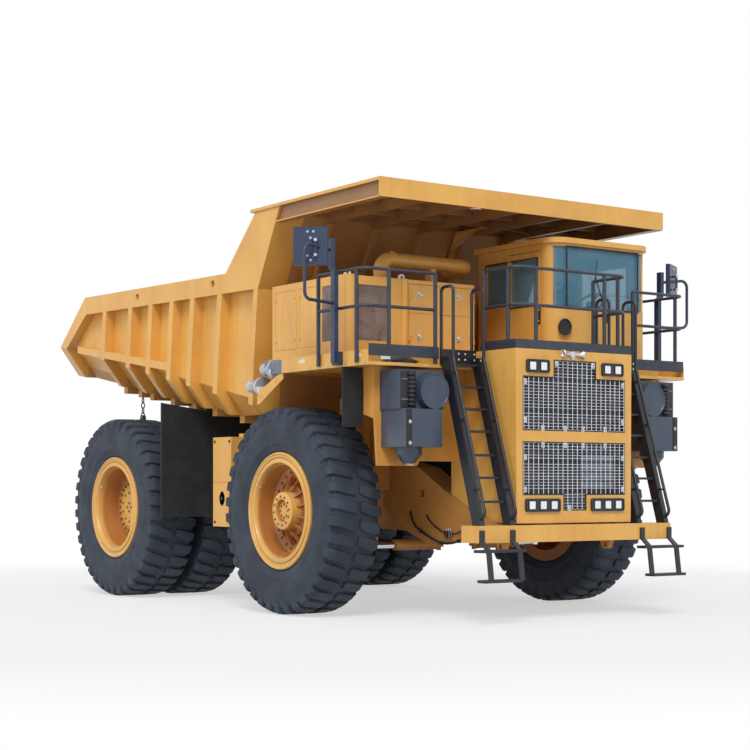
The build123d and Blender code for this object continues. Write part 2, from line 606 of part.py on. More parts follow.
def cab_plan(inset):
    """Plan of the cab with its two rounded front corners."""
    right, left = CAB_RIGHT + inset, CAB_LEFT - inset
    front, rear = CAB_FRONT_Y + inset, CAB_REAR_Y - inset
    r = CAB_CORNER - inset
    k = r * (1 - math.sqrt(0.5))
    edges = [Line((right, rear), (right, front + r)),
             ThreePointArc((right, front + r), (right + k, front + k), (right + r, front)),
             Line((right + r, front), (left - r, front)),
             ThreePointArc((left - r, front), (left - k, front + k), (left, front + r)),
             Line((left, front + r), (left, rear)),
             Line((left, rear), (right, rear))]
    return make_face(edges)


def cab_block(inset, z0, z1):
    return Pos(0, 0, z0) * extrude(cab_plan(inset), z1 - z0)


def window_zones(grow):
    """The glazed zones: wrap-round windscreen, left side window, pane behind the door, rear window."""
    return [block((CAB_RIGHT - 50, SCREEN_LEFT + grow), (CAB_FRONT_Y - 50, SCREEN_REAR_Y + grow),
                  (WINDOW_LOW - grow, WINDOW_HIGH + grow)),
            block((CAB_LEFT - 100, CAB_LEFT + 50), (-1400 - grow, -450 + grow), (WINDOW_LOW - grow, 4640 + grow)),
            block((CAB_RIGHT - 50, CAB_RIGHT + 100), (-863 - grow, -429 + grow), (4060 - grow, 4620 + grow)),
            block((900 - grow, 1850 + grow), (CAB_REAR_Y - 100, CAB_REAR_Y + 50), (4050 - grow, 4600 + grow))]


def cab():
    low = DECK_TOP + SEAT
    shell = cab_block(0, low, CAB_TOP) - cab_block(CAB_WALL, low + 50, CAB_TOP + 1)
    for zone in window_zones(0):
        shell -= zone
    doorway = block((CAB_RIGHT - 50, CAB_RIGHT + 100), (DOOR_FRONT_Y, DOOR_REAR_Y), (DOOR_LOW, DOOR_HIGH))
    shell -= doorway
    for z in CAB_HINGES_Z:
        leaf = block((CAB_RIGHT - HINGE_PROUD + 2, CAB_RIGHT + 1), (CAB_HINGE[1] + 4, CAB_HINGE[1] + 60),
                     (z, z + HINGE_LONG))
        shell += leaf + hinge_cylinders(*CAB_HINGE, z)[0]
    save("cab_shell", shell)
    roof = cab_block(-45, CAB_TOP + SEAT, CAB_TOP + 70)
    save("cab_roof", roof)
    pane = cab_block(22, low + 60, CAB_TOP - 10) - cab_block(22 + GLASS, low + 50, CAB_TOP + 1)
    panes = []
    for zone in window_zones(-SEAT):
        panes.append(pane & zone)
    save("cab_glass", *panes)


def cab_door():
    door = block((CAB_RIGHT, CAB_RIGHT + CAB_WALL), (DOOR_FRONT_Y + DOOR_GAP, DOOR_REAR_Y - DOOR_GAP),
                 (DOOR_LOW + DOOR_GAP, DOOR_HIGH - DOOR_GAP))
    window_y, window_z = DOOR_WINDOW
    door -= block((CAB_RIGHT - 1, CAB_RIGHT + CAB_WALL + 1), window_y, window_z)
    door += block((CAB_RIGHT - 50, CAB_RIGHT - 30), (DOOR_FRONT_Y + 30, DOOR_FRONT_Y + 60), (3780, 3960))
    for z in (3795, 3945):
        door += block((CAB_RIGHT - 31, CAB_RIGHT + 1), (DOOR_FRONT_Y + 30, DOOR_FRONT_Y + 60), (z - 12, z + 12))
    for z in CAB_HINGES_Z:
        leaf = block((CAB_RIGHT - HINGE_PROUD + 2, CAB_RIGHT + 1), (CAB_HINGE[1] - 60, CAB_HINGE[1] - 8),
                     (z + HINGE_LONG + SEAT, z + 2 * HINGE_LONG))
        door += leaf + hinge_cylinders(*CAB_HINGE, z)[1]
    save("cab_door", door)
    glass = block((CAB_RIGHT + 22, CAB_RIGHT + 22 + GLASS), (window_y[0] + SEAT, window_y[1] - SEAT),
                  (window_z[0] + SEAT, window_z[1] - SEAT))
    save("cab_door_glass", glass)


def cab_inside():
    floor = DECK_TOP + SEAT + 50
    x, y = 1600, -850
    base = Pos(x, y, floor + SEAT) * Cylinder(180, 300, align=(Align.CENTER, Align.CENTER, Align.MIN))
    frame = block((x - 260, x + 260), (y - 260, y + 260), (floor + 300, floor + 340)) + base
    frame += block((x - 240, x + 240), (y + 180, y + 230), (floor + 330, floor + 700))
    save("seat_frame", frame)
    top = floor + 340 + SEAT
    cushion = block((x - 250, x + 250), (y - 270, y + 170), (top, top + 130))
    back = block((x - 250, x + 250), (y + 60, y + 180 - SEAT), (top + 130 + SEAT, top + 800))
    save("seat_cushions", cushion, back)
    console = slab_x([(CAB_FRONT_Y + 420, floor + SEAT), (CAB_FRONT_Y + 420, floor + 600), (CAB_FRONT_Y + 330, 4030),
                      (CAB_FRONT_Y + 120, 3990), (CAB_FRONT_Y + 120, floor + SEAT)], 900, 1950)
    column = rod((x, CAB_FRONT_Y + 380, floor + 560), (x, CAB_FRONT_Y + 520, floor + 760), 35)
    console += column
    rim_plane = Plane(origin=(x, CAB_FRONT_Y + 520, floor + 760), z_dir=(0, 140, 200))
    wheel = rim_plane * (Cylinder(225, 26) - Cylinder(195, 30) + Cylinder(50, 40) + Box(410, 40, 16))
    save("dashboard", console + wheel)


# ---------------------------------------------------------------- right deck equipment
CABINET_RIGHT = -2300
CABINET_LEFT = -260
CABINET_FRONT_Y = -1110
CABINET_REAR_Y = 570
CABINET_TOP = 4250
BAY_FRONT = ((-2115, -1640), (3450, 4140))     # X and Z of the front opening of the blower's bay
BAY_SIDE_Y = (-870, -610)
BAY_INSIDE = ((-2250, -1590), (-1060, -510))   # X and Y
PILLARS = ((-2215, 80), (-1388, 48))           # X and radius of the half-round corner pillars
DOOR_JOINT_Z = 3830          # the doors' upper and lower leaves meet here
CABINET_DOORS = ((-1320, -820), (-790, -290))
CABINET_HINGE_Y = CABINET_FRONT_Y - HINGE_PROUD
CABINET_HINGES = ((CABINET_DOORS[0][0] + 3, -1), (CABINET_DOORS[1][1] - 3, 1))    # X, side of the post
CABINET_HINGES_Z = (3480, 4000)


def cabinets():
    low = DECK_TOP + SEAT
    box = block((CABINET_RIGHT, CABINET_LEFT), (CABINET_FRONT_Y, CABINET_REAR_Y), (low, CABINET_TOP))
    # bay for the blower, open to the front and to the side
    (bay_x, bay_z), (inside_x, inside_y) = BAY_FRONT, BAY_INSIDE
    box -= block(inside_x, inside_y, bay_z)
    box -= block(bay_x, (CABINET_FRONT_Y - 1, inside_y[0] + 1), bay_z)
    box -= block((CABINET_RIGHT - 1, inside_x[0] + 1), BAY_SIDE_Y, bay_z)
    for x, radius in PILLARS:
        box += rod((x, CABINET_FRONT_Y, low), (x, CABINET_FRONT_Y, CABINET_TOP), radius)
        eye = rod((x, CABINET_FRONT_Y + 60, CABINET_TOP + 25), (x, CABINET_FRONT_Y + 80, CABINET_TOP + 25), 45)
        box += eye - rod((x, CABINET_FRONT_Y, CABINET_TOP + 32), (x, CABINET_FRONT_Y + 200, CABINET_TOP + 32), 20)
    # cupboards behind the two doors
    for x0, x1 in CABINET_DOORS:
        box -= block((x0, x1), (CABINET_FRONT_Y - 1, CABINET_FRONT_Y + 520), (low + 50, CABINET_TOP - 50))
    for x, way in CABINET_HINGES:
        for z in CABINET_HINGES_Z:
            leaf = block((x + way * 5, x + way * 30), (CABINET_HINGE_Y + 2, CABINET_FRONT_Y + 1), (z, z + HINGE_LONG))
            box += leaf + hinge_cylinders(x, CABINET_HINGE_Y, z)[0]
    save("control_cabinet", box)
    centre = ((bay_x[0] + bay_x[1]) / 2 - 20, -820, 3765)
    blower = rod((centre[0], -1000, centre[2]), (centre[0], -560, centre[2]), 270)
    blower -= rod((centre[0], -1001, centre[2]), (centre[0], -860, centre[2]), 160)
    blower += rod((centre[0], -980, centre[2]), (centre[0], -850, centre[2]), 70)
    foot = block((centre[0] - 200, centre[0] + 200), (-960, -600), (bay_z[0] + SEAT, centre[2] - 180))
    save("grid_blower", blower + foot)
    for number, (x0, x1) in enumerate(CABINET_DOORS, start=1):
        door = block((x0 + 6, x1 - 6), (CABINET_FRONT_Y, CABINET_FRONT_Y + 30), (low + 56, CABINET_TOP - 56))
        door -= block((x0, x1), (CABINET_FRONT_Y - 1, CABINET_FRONT_Y + 6), (DOOR_JOINT_Z - 5, DOOR_JOINT_Z + 5))
        x, way = CABINET_HINGES[number - 1]
        for z in CABINET_HINGES_Z:
            door += block((x - way * 9, x - way * 50), (CABINET_HINGE_Y + 2, CABINET_FRONT_Y + 1),
                          (z + HINGE_LONG + SEAT, z + 2 * HINGE_LONG))
            door += hinge_cylinders(x, CABINET_HINGE_Y, z)[1]
        save(f"cabinet_door_{number}", door)


DUCT_Y = -700
DUCT_Z = 4545
DUCT_RADIUS = 97
DUCT_RISER_X = -1460
DUCT_END_X = -40


def duct():
    """Exhaust duct: it rises from the cabinet's roof, runs to the middle and turns to the rear."""
    roof = CABINET_TOP + SEAT
    line = pipe([(DUCT_RISER_X, DUCT_Y, roof), (DUCT_RISER_X, DUCT_Y, DUCT_Z), (DUCT_END_X, DUCT_Y, DUCT_Z),
                 (DUCT_END_X, DUCT_Y + 450, DUCT_Z)], DUCT_RADIUS, 150)
    line += block((DUCT_RISER_X - 130, DUCT_RISER_X + 130), (DUCT_Y - 130, DUCT_Y + 130), (roof, roof + 30))
    line += ring_x(DUCT_RISER_X + 160, DUCT_RISER_X + 185, DUCT_RADIUS + 14, 0, DUCT_Y, DUCT_Z)
    line += block((-700, -620), (DUCT_Y - 60, DUCT_Y + 60), (roof, DUCT_Z))
    save("exhaust_duct", line)


MIRROR_POST = (DECK_HALF + 80, -1475)
MIRROR_JOGGLE = 50
MIRROR_LOOP = (DECK_HALF + 560, -1560)
MIRROR_HEAD = (410, 60, 456)
MIRROR_MIDDLE = (DECK_HALF + 390, -1430, 4495)


def mirror_arm(turn):
    """Post, loop and head of the left mirror; the head's glass is turned to the cab by this angle."""
    x, y = MIRROR_POST
    shift = x + MIRROR_JOGGLE
    post = slab_y([(x - 30, 3120), (x + 30, 3120), (x + 30, 4210), (shift + 30, 4270), (shift + 30, 4600),
                   (shift - 30, 4600), (shift - 30, 4270), (x - 30, 4210)], y - 40, y + 40)
    post += block((DECK_HALF + SEAT, x), (y - 60, y + 60), (3090, 3250))
    out_x, out_y = MIRROR_LOOP
    post += pipe([(shift, y, 4460), (out_x, out_y, 4510), (out_x, out_y, 3850), (x, y, 3830)], TUBE, 90)
    mid_x, mid_y, mid_z = MIRROR_MIDDLE
    post += Pos(mid_x, mid_y, mid_z) * Rot(0, 0, turn) * Box(*MIRROR_HEAD)
    for z in (4380, 4560):
        post += rod((mid_x, mid_y, z), (mid_x, out_y + 30, z), 14)
    post += rod((mid_x, out_y + 30, 4370), (mid_x, out_y + 30, 4570), 16)
    return post


def mirrors():
    save("mirrors", mirror_arm(31), other_side(mirror_arm(40)))


LAMPS = ((-610, 3090, 2, 180), (610, 3090, 2, 180), (-530, 1410, 3, 275), (530, 1410, 3, 275))
LAMP_PITCH = 175
# work lamps behind the right end of the walkway: Y and Z of the front face, length
WORK_LAMPS = ((130, 3133, 300), (432, 2930, 340))
WORK_LAMP_X = DECK_HALF - 10


def lamps():
    pieces = []
    # columns: X, Z of the bezel's centre, number of lamps, half width
    for x, z, count, half_w in LAMPS:
        bezel = block((x - half_w, x + half_w), (HOOD_FRONT_Y - 22, HOOD_FRONT_Y - SEAT), (z - 80, z + 80))
        for i in range(count):
            cx = x + (i - (count - 1) / 2) * LAMP_PITCH
            bezel += block((cx - 50, cx + 50), (HOOD_FRONT_Y - 30, HOOD_FRONT_Y - 21), (z - 50, z + 50))
        pieces.append(bezel)
    # bracket from the walkway's rear end, with its lamps and their ballast box
    x = WORK_LAMP_X
    arm = slab_x([(SIDE_WALK_REAR_Y + SEAT, 3070), (SIDE_WALK_REAR_Y + SEAT, 3000), (420, 2700), (480, 2700),
                  (480, 2850), (-60, 3070)], x - 30, x - 12)
    arm += block((x - 110, x), (SIDE_WALK_REAR_Y + SEAT, 280), (3069, 3245))
    for y, z, length in WORK_LAMPS:
        arm += rod((x - 40, y, z), (x - 40, y + 30, z), 130)
        arm += rod((x - 40, y + 29, z), (x - 40, y + length, z + 20), 85)
    save("headlamps", *pieces, other_side(arm))


def tanks():
    fuel = block((950, 2200), (1810, 2310), (1080, 2320))
    for x in (1300, 1850):
        fuel += rod((x, 2060, 2319), (x, 2060, 2375), 70)
    bracket = block((RAIL_OUT + SEAT, 951), (1860, 2000), (1300, 1900))
    bracket += block((RAIL_OUT + SEAT, 951), (2120, 2260), (1300, 1900))
    save("side_tanks", *both(fuel + bracket))


# ---------------------------------------------------------------- suspension and steering


def struts():
    front = rod((KINGPIN_X, 0, KNUCKLE_TOP + SEAT), (KINGPIN_X, 0, 2780), STRUT_RADIUS)
    front += block((1250 + SEAT, KINGPIN_X), (-150, 150), (1760, 2640))
    x, y = REAR_STRUT
    rear = rod((x, y, 1560), (x, y, 2440), 105)
    rear += block((x - 106 + SEAT, x), (y - 70, y + 70), (2330, 2560))
    rear += rod((x - 60, y, 1500), (x + 60, y, 1500), 70)
    save("suspension_struts", *both(front), *both(rear))


def knuckle(left):
    body = rod((KINGPIN_X, 0, 900), (KINGPIN_X, 0, KNUCKLE_TOP), 130)
    body += rod((KINGPIN_X, 0, 1040), (KINGPIN_X, 0, 1560), 190)
    body += rod((KINGPIN_X, 0, TYRE_RADIUS), (1800, 0, TYRE_RADIUS), 200)
    body += rod((1790, 0, TYRE_RADIUS), (FRONT_TYRE_OUTER - 170, 0, TYRE_RADIUS), SPINDLE_RADIUS)
    arm = slab_z([(KINGPIN_X - 120, -60), (STEER_PIN[0] - 90, STEER_PIN[1]), (STEER_PIN[0], STEER_PIN[1] - 90),
                  (STEER_PIN[0] + 90, STEER_PIN[1]), (KINGPIN_X + 120, -60), (KINGPIN_X + 120, 60),
                  (TIE_PIN[0] + 90, TIE_PIN[1]), (TIE_PIN[0], TIE_PIN[1] + 90), (TIE_PIN[0] - 90, TIE_PIN[1]),
                  (KINGPIN_X - 120, 60)], STEER_ARM_Z - 35, STEER_ARM_Z + 35)
    body += arm
    # pins stand down from the arm: the tie rod behind, the steering cylinder in front
    body += rod((*TIE_PIN, STEER_ARM_Z - 120), (*TIE_PIN, STEER_ARM_Z), STEER_PIN_RADIUS)
    return body if left else other_side(body)


def steering():
    save("steering_knuckle_left", knuckle(True))
    save("steering_knuckle_right", knuckle(False))
    z0, z1 = STEER_ARM_Z - 115, STEER_ARM_Z - 41
    bar = rod((-TIE_PIN[0] + 60, TIE_PIN[1], (z0 + z1) / 2), (TIE_PIN[0] - 60, TIE_PIN[1], (z0 + z1) / 2), 34)
    for x in (-TIE_PIN[0], TIE_PIN[0]):
        eye = rod((x, TIE_PIN[1], z0), (x, TIE_PIN[1], z1), 70)
        bar += eye
    for x in (-TIE_PIN[0], TIE_PIN[0]):
        bar -= rod((x, TIE_PIN[1], z0 - 1), (x, TIE_PIN[1], z1 + 1), STEER_PIN_RADIUS + RUNNING)
    save("tie_rod", bar)


def steering_cylinders():
    """Barrel pinned to the frame; the rod's eye lies under the knuckle's arm and carries its own pin head."""
    foot = Vector(STEER_FOOT[0], STEER_FOOT[1], STEER_ARM_Z - 78)
    eye = Vector(STEER_PIN[0], STEER_PIN[1], STEER_ARM_Z - 78)
    along = (eye - foot).normalized()

    def at(distance):
        point = foot + along * distance
        return (point.X, point.Y, point.Z)

    length = (eye - foot).length
    barrel = rod(at(50), at(length - 350), 72) - rod(at(90), at(length - 349), 40 + RUNNING)
    barrel += Pos(*at(0)) * Cylinder(66, 74)
    barrel -= Pos(*at(0)) * Cylinder(STEER_PIN_RADIUS + RUNNING, 200)
    piston = rod(at(320), at(length - 50), 40) + Pos(*at(length)) * Cylinder(62, 74)
    for side, flip in (("left", False), ("right", True)):
        save(f"steering_barrel_{side}", other_side(barrel) if flip else barrel)
        save(f"steering_rod_{side}", other_side(piston) if flip else piston)


def rear_axle():
    y, z = WHEELBASE, TYRE_RADIUS
    hub = REAR_TYRE_OUTER - 640
    # columns: X, radius of the housing, from the middle to the wheel's spindle
    sections = [(0, 0), (0, 400), (300, 470), (hub - 1020, 470), (hub - 1000, 430), (hub, 430), (hub, SPINDLE_RADIUS),
                (hub + 240, SPINDLE_RADIUS), (hub + 240, 0)]
    half = turned_x(sections, y, z)
    nose = slab_z([(0, NOSE_Y + 10), (110, NOSE_Y + 10), (170, NOSE_Y + 250), (620, y - 300), (620, y), (0, y)],
                  1190, 1440)
    nose -= slab_z([(0, NOSE_Y + 550), (140, NOSE_Y + 550), (360, y - 450), (0, y - 450)], 1100, 1500)
    half += nose
    strut_x, strut_y = REAR_STRUT
    half += block((strut_x - 70, strut_x + 70), (strut_y - 180, strut_y + 100), (1330, 1430 - SEAT))
    half += slab_x([(strut_y - 230, 1200), (strut_y - 130, 1200), (strut_y + 100, 1330), (strut_y + 100, 1350),
                    (strut_y - 230, 1350)], strut_x - 50, strut_x + 50)
    axle = half + other_side(half)
    axle += rod((0, NOSE_Y, 1190), (0, NOSE_Y, 1560 - SEAT), 90)
    save("rear_axle", axle)


# ---------------------------------------------------------------- body
FLOOR_SLOPE = (FLOOR_TAIL_Z - FLOOR_FLAT_Z) / (REAR_TIP_Y - FLOOR_KINK_Y)
KINK_Z = 2900                # where the upright sides turn inward, at FLOOR_KINK_Y
KINK_SLOPE = 0.195
CHAMFER_SLOPE = 1.19
FRONT_WALL = [(BODY_FRONT_Y, FLOOR_FLAT_Z), (1010, 3310), (910, 4260), (362, CANOPY_TOP_Z - 40)]
RIBS_Y = (5627, 4754, 4092, 3442, 2827, 2055)     # at the ribs' feet, RIB_FOOT_Z high
RIB_FOOT_Z = 3000
RIB_LEAN = 0.1
RIB_WIDE = 125
FLANGE_WIDE = 110            # front edge of a side
SIDE_BEAM = [(3350, 3305), (6460, 3765), (6460, 3875), (3350, 3415)]
WALL_RIBS_X = (0, 760, 1500)
WALL_RIB_DEEP = 90
WALL_RIB_TOP = CANOPY_TOP_Z - 197
RAIL_HOLES = ((4387, 4474), (2115, 4445))         # Y and Z of the lifting holes in the top rails
EJECTOR_X = REAR_TYRE_OUTER - TYRE_WIDTH - DUAL_GAP / 2
EJECTOR_Y = 5150
EJECTOR_CHAIN_Z = 2700       # the chain ends here and the bar begins


def floor_z(y):
    return FLOOR_FLAT_Z + max(0, y - FLOOR_KINK_Y) * FLOOR_SLOPE


def sloping_cut(depth):
    """Everything outside the sloping lower side, moved inward by depth (left side)."""
    outward = Vector(CHAMFER_SLOPE, KINK_SLOPE, -1).normalized()
    origin = Vector(BODY_HALF, FLOOR_KINK_Y, KINK_Z) - outward * depth
    return Plane(origin=origin, z_dir=outward) * Box(20000, 20000, 4000, align=(Align.CENTER, Align.CENTER, Align.MIN))


def body_half(depth, outline):
    """Left half of the body's outer form, its side moved inward by depth."""
    return slab_x(outline, 0, BODY_HALF - depth) - sloping_cut(depth)


def dump_body():
    roof_z = CANOPY_TOP_Z - 40
    outline = [*FRONT_WALL, (965, roof_z), (1760, RAIL_TOP_Z), RAIL_REAR, TAIL_TIP, (REAR_TIP_Y, FLOOR_TAIL_Z),
               (FLOOR_KINK_Y, FLOOR_FLAT_Z)]
    far = REAR_TIP_Y + 1000
    inside_outline = [(y + BODY_WALL, z) for y, z in FRONT_WALL[1:]]
    inside_outline = [(BODY_FRONT_Y + BODY_WALL + 2, FLOOR_FLAT_Z + FLOOR_PLATE)] + inside_outline
    inside_outline += [(inside_outline[-1][0], 7000), (far, 7000), (far, floor_z(far) + FLOOR_PLATE),
                       (FLOOR_KINK_Y, FLOOR_FLAT_Z + FLOOR_PLATE)]
    full = body_half(0, outline)
    skin = body_half(RIB_DEPTH, outline)
    band = full - skin
    inside = slab_x(inside_outline, -1, BODY_HALF - RIB_DEPTH - BODY_WALL) - sloping_cut(RIB_DEPTH + BODY_WALL)
    shell = skin - inside
    # ribs, top rail, tail flange and the long beam along the bend
    for y in RIBS_Y:
        foot, head = [y - (z - RIB_FOOT_Z) * RIB_LEAN for z in (2000, 5000)]
        edge = RIB_WIDE / 2
        shell += band & slab_x([(foot - edge, 2000), (foot + edge, 2000), (head + edge, 5000), (head - edge, 5000)],
                               0, 3000)
    low_front = RAIL_TOP_Z - TOP_RAIL_DEEP - 14
    low_rear = RAIL_REAR[1] - TOP_RAIL_DEEP
    top_rail = slab_x([(880, low_front), (RAIL_REAR[0], low_rear), (7000, 4000), (7400, 4000), (7400, 6000),
                       (300, 6000), (300, low_front)], 1000, 3000)
    shell += band & top_rail
    tail = slab_x([(7400, 3300), (7400, 6000), (6400, 4800), (RAIL_REAR[0] - 40, low_rear), (6880, 3860),
                   (6990, 3300)], 1000, 3000)
    shell += band & tail
    shell += band & slab_x(SIDE_BEAM, 1000, 3000)
    flange = [(y - 1, z) for y, z in FRONT_WALL] + [(y + FLANGE_WIDE, z) for y, z in FRONT_WALL[::-1]]
    shell += band & slab_x(flange, 1000, 3000)
    for y, z in RAIL_HOLES:
        shell -= rod((BODY_HALF - 60, y, z), (BODY_HALF + 1, y, z), 50)
    # split where the floor, the sides and the front wall meet
    front_zone = slab_x([(y + BODY_WALL, z) for y, z in FRONT_WALL]
                        + [(0, 6000), (0, 2000), (BODY_FRONT_Y + BODY_WALL, 2000)], -1, FLOOR_HALF)
    side_zone = block((FLOOR_HALF, 3000), (0, 9000), (2000, 7000))
    side = shell & side_zone
    middle = shell - side_zone
    wall = middle & front_zone
    floor = middle - front_zone
    # upright ribs on the outside of the front wall, up to the canopy's webs
    top_y = between(FRONT_WALL[2][::-1], FRONT_WALL[3][::-1], WALL_RIB_TOP)
    line = [FRONT_WALL[1], FRONT_WALL[2], (top_y, WALL_RIB_TOP)]
    for x in WALL_RIBS_X:
        wall += slab_x([(y - WALL_RIB_DEEP, z) for y, z in line] + [(y + 1, z) for y, z in line[::-1]],
                       max(x - 30, -1), x + 30)
    # cross bolsters under the floor
    for y in RIBS_Y:
        z = floor_z(y)
        floor += block((RAIL_OUT, FLOOR_HALF - 20), (y - RIB_WIDE / 2, y + RIB_WIDE / 2), (z - 110, z + 30))
    # long stringers that lie on the frame, and the hinge ears
    def on_frame(y):
        return between(RAIL_TOP_FRONT, RAIL_TOP_REAR, y) + MOVE
    over_pin = PIVOT_Z + 285
    rear_end = PIVOT_Y + 350
    stringer = [(1110, on_frame(1110)), (PIVOT_Y - 210, on_frame(PIVOT_Y - 210)), (PIVOT_Y - 120, over_pin),
                (PIVOT_Y, over_pin + 20), (PIVOT_Y + 120, over_pin), (rear_end, over_pin + 255),
                (rear_end, floor_z(rear_end) + 20), (FLOOR_KINK_Y, FLOOR_FLAT_Z + 20), (1110, FLOOR_FLAT_Z + 20)]
    floor += slab_x(stringer, RAIL_IN, RAIL_OUT)
    ear = [(PIVOT_Y - 150, PIVOT_Z), (PIVOT_Y - 106, PIVOT_Z - 106), (PIVOT_Y, PIVOT_Z - 150),
           (PIVOT_Y + 106, PIVOT_Z - 106), (PIVOT_Y + 150, PIVOT_Z), (PIVOT_Y + 310, floor_z(PIVOT_Y + 310) + 20),
           (PIVOT_Y - 300, floor_z(PIVOT_Y - 300) + 20)]
    floor += slab_x(ear, RAIL_OUT + MOVE, RAIL_OUT + 80)
    floor += slab_x(ear, RAIL_IN - 80, RAIL_IN - MOVE)
    floor += rod((RAIL_IN - 81, PIVOT_Y, PIVOT_Z), (RAIL_OUT + 95, PIVOT_Y, PIVOT_Z), PIVOT_PIN_RADIUS)
    # brackets for the rock ejectors, over the gap between the twin tyres
    bracket_z = floor_z(EJECTOR_Y)
    bracket = block((EJECTOR_X - 45, EJECTOR_X + 45), (EJECTOR_Y - 60, EJECTOR_Y + 60), (bracket_z - 110, bracket_z + 300))
    floor += (bracket & (full - inside)) - side_zone
    foot = block((EJECTOR_X - 300, EJECTOR_X + 45), (EJECTOR_Y - 60, EJECTOR_Y + 60), (bracket_z - 110, bracket_z - 6))
    floor += foot - side_zone
    # hoist brackets: two plates each side of the rod's eye
    top_y, top_z = HOIST_TOP
    plate = [(top_y - 110, top_z - 40), (top_y - 60, top_z - 100), (top_y + 60, top_z - 100),
             (top_y + 110, top_z - 40), (top_y + 240, floor_z(top_y + 240) + 20),
             (top_y - 240, floor_z(top_y - 240) + 20)]
    for x in (HOIST_X - HOIST_EYE_HALF - MOVE - 40, HOIST_X + HOIST_EYE_HALF + MOVE):
        floor += slab_x(plate, x, x + 40)
        floor += rod((x - 12, *HOIST_TOP), (x + 52, *HOIST_TOP), HOIST_PIN) - block(
            (HOIST_X - HOIST_EYE_HALF - MOVE, HOIST_X + HOIST_EYE_HALF + MOVE), (2000, 3000), (2000, 3000))
    floor -= slab_x([(top_y - 250, 2400), (top_y + 250, 2400), (top_y + 250, floor_z(top_y + 250)),
                     (top_y - 250, floor_z(top_y - 250))], HOIST_X - HOIST_EYE_HALF - MOVE,
                    HOIST_X + HOIST_EYE_HALF + MOVE)
    save("body_floor", floor + other_side(floor))
    save("body_sides", *both(side))
    save("body_headboard", wall + other_side(wall))


def canopy():
    top = CANOPY_TOP_Z
    under = top - 40
    plate = block((-CANOPY_HALF, CANOPY_HALF), (CANOPY_FRONT_Y, CANOPY_REAR_Y), (under, top))
    plate += block((-CANOPY_HALF, CANOPY_HALF), (CANOPY_FRONT_Y, CANOPY_FRONT_Y + 30), (top - CANOPY_DEEP, under + 1))
    back = FRONT_WALL[-1]
    for x in (-1500, -760, 0, 760, 1500):
        plate += slab_x([(CANOPY_FRONT_Y + 29, under + 1), (CANOPY_FRONT_Y + 29, top - 190), (back[0] + 100, top - 190),
                         (back[0] - 10, under + 1)], x - 30, x + 30)
    for side in (-1, 1):
        web = slab_x([(CANOPY_FRONT_Y + 29, under + 1), (CANOPY_FRONT_Y + 29, top - CANOPY_DEEP),
                      (back[0] + 80, top - CANOPY_DEEP), (back[0] - 10, under + 1)],
                     side * (CANOPY_HALF - 90), side * (CANOPY_HALF - 60))
        foot = block((side * (CANOPY_HALF - 130), side * CANOPY_HALF), (CANOPY_FRONT_Y + 29, back[0] + 70),
                     (top - CANOPY_DEEP - 15, top - CANOPY_DEEP))
        plate += web + foot
    wall = slab_x([(y + BODY_WALL + 200, z) for y, z in FRONT_WALL[1:]]
                  + [(y - SEAT, z) for y, z in FRONT_WALL[:0:-1]], -3000, 3000)
    plate -= wall & block((-3000, 3000), (0, 2000), (4000, under))
    save("body_canopy", plate)


def body_trim():
    low = floor_z(3100) - 110
    flap = slab_y([(1030, 1200), (2600, 1200), (2600, 2830), (FLOOR_HALF - 20, low + 40), (1030, low)], 3085, 3115)
    hanger = block((1030, FLOOR_HALF - 20), (3060, 3140), (floor_z(3100) - 112, floor_z(3060) - SEAT))
    save("mud_flaps", *both(flap + hanger))
    top = floor_z(EJECTOR_Y) - 110 - SEAT
    y = EJECTOR_Y
    bar = slab_x([(y - 45, EJECTOR_CHAIN_Z), (y + 45, EJECTOR_CHAIN_Z), (y + 45, 2000), (y, 1960), (y - 45, 2000)],
                 EJECTOR_X - 30, EJECTOR_X + 30)
    bar += rod((EJECTOR_X, y, EJECTOR_CHAIN_Z - 1), (EJECTOR_X, y, top), 18)
    save("rock_ejectors", *both(bar))


def hoists():
    """Two stage hoists: barrel on the frame, one sleeve, and a rod whose eye lies in the body's bracket."""
    foot = Vector(HOIST_X, *HOIST_FOOT)
    eye = Vector(HOIST_X, *HOIST_TOP)
    along = (eye - foot).normalized()
    length = (eye - foot).length

    def at(distance):
        point = foot + along * distance
        return (point.X, point.Y, point.Z)

    barrel = rod(at(110), at(length - 200), HOIST_BARREL) + rod(at(0), at(111), HOIST_EYE_HALF)
    barrel -= rod(at(160), at(length - 199), HOIST_SLEEVE + RUNNING)
    barrel += rod((HOIST_X - HOIST_EYE_HALF, *HOIST_FOOT), (HOIST_X + HOIST_EYE_HALF, *HOIST_FOOT), 92)
    barrel -= rod((HOIST_X - 200, *HOIST_FOOT), (HOIST_X + 200, *HOIST_FOOT), HOIST_PIN + RUNNING)
    sleeve = rod(at(170), at(length - 170), HOIST_SLEEVE) - rod(at(200), at(length - 169), HOIST_ROD + RUNNING)
    piston = rod(at(210), at(length - 140), HOIST_ROD) + rod(at(length - 141), at(length), HOIST_EYE_HALF - 5)
    piston += rod((HOIST_X - HOIST_EYE_HALF, *HOIST_TOP), (HOIST_X + HOIST_EYE_HALF, *HOIST_TOP), 72)
    for side, flip in (("left", False), ("right", True)):
        for name, piece in (("barrel", barrel), ("sleeve", sleeve), ("rod", piston)):
            save(f"hoist_{name}_{side}", other_side(piece) if flip else piece)


wheels()
steering_cylinders()
rear_axle()
dump_body()
canopy()
body_trim()
hoists()
main_frame()
engine()
hood()
grilles()
bumper()
ladders()
decks()
fenders()
air_cleaners()
handrails()
cab()
cab_door()
cab_inside()
cabinets()
duct()
mirrors()
lamps()
tanks()
struts()
steering()
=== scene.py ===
"""Looks of the mining dump truck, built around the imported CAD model.

Metres, in the frame of the CAD model: +X is the truck's left, +Y its tail, +Z up.
"""
import json
import math
import bmesh
import bpy
from mathutils import Matrix, Vector

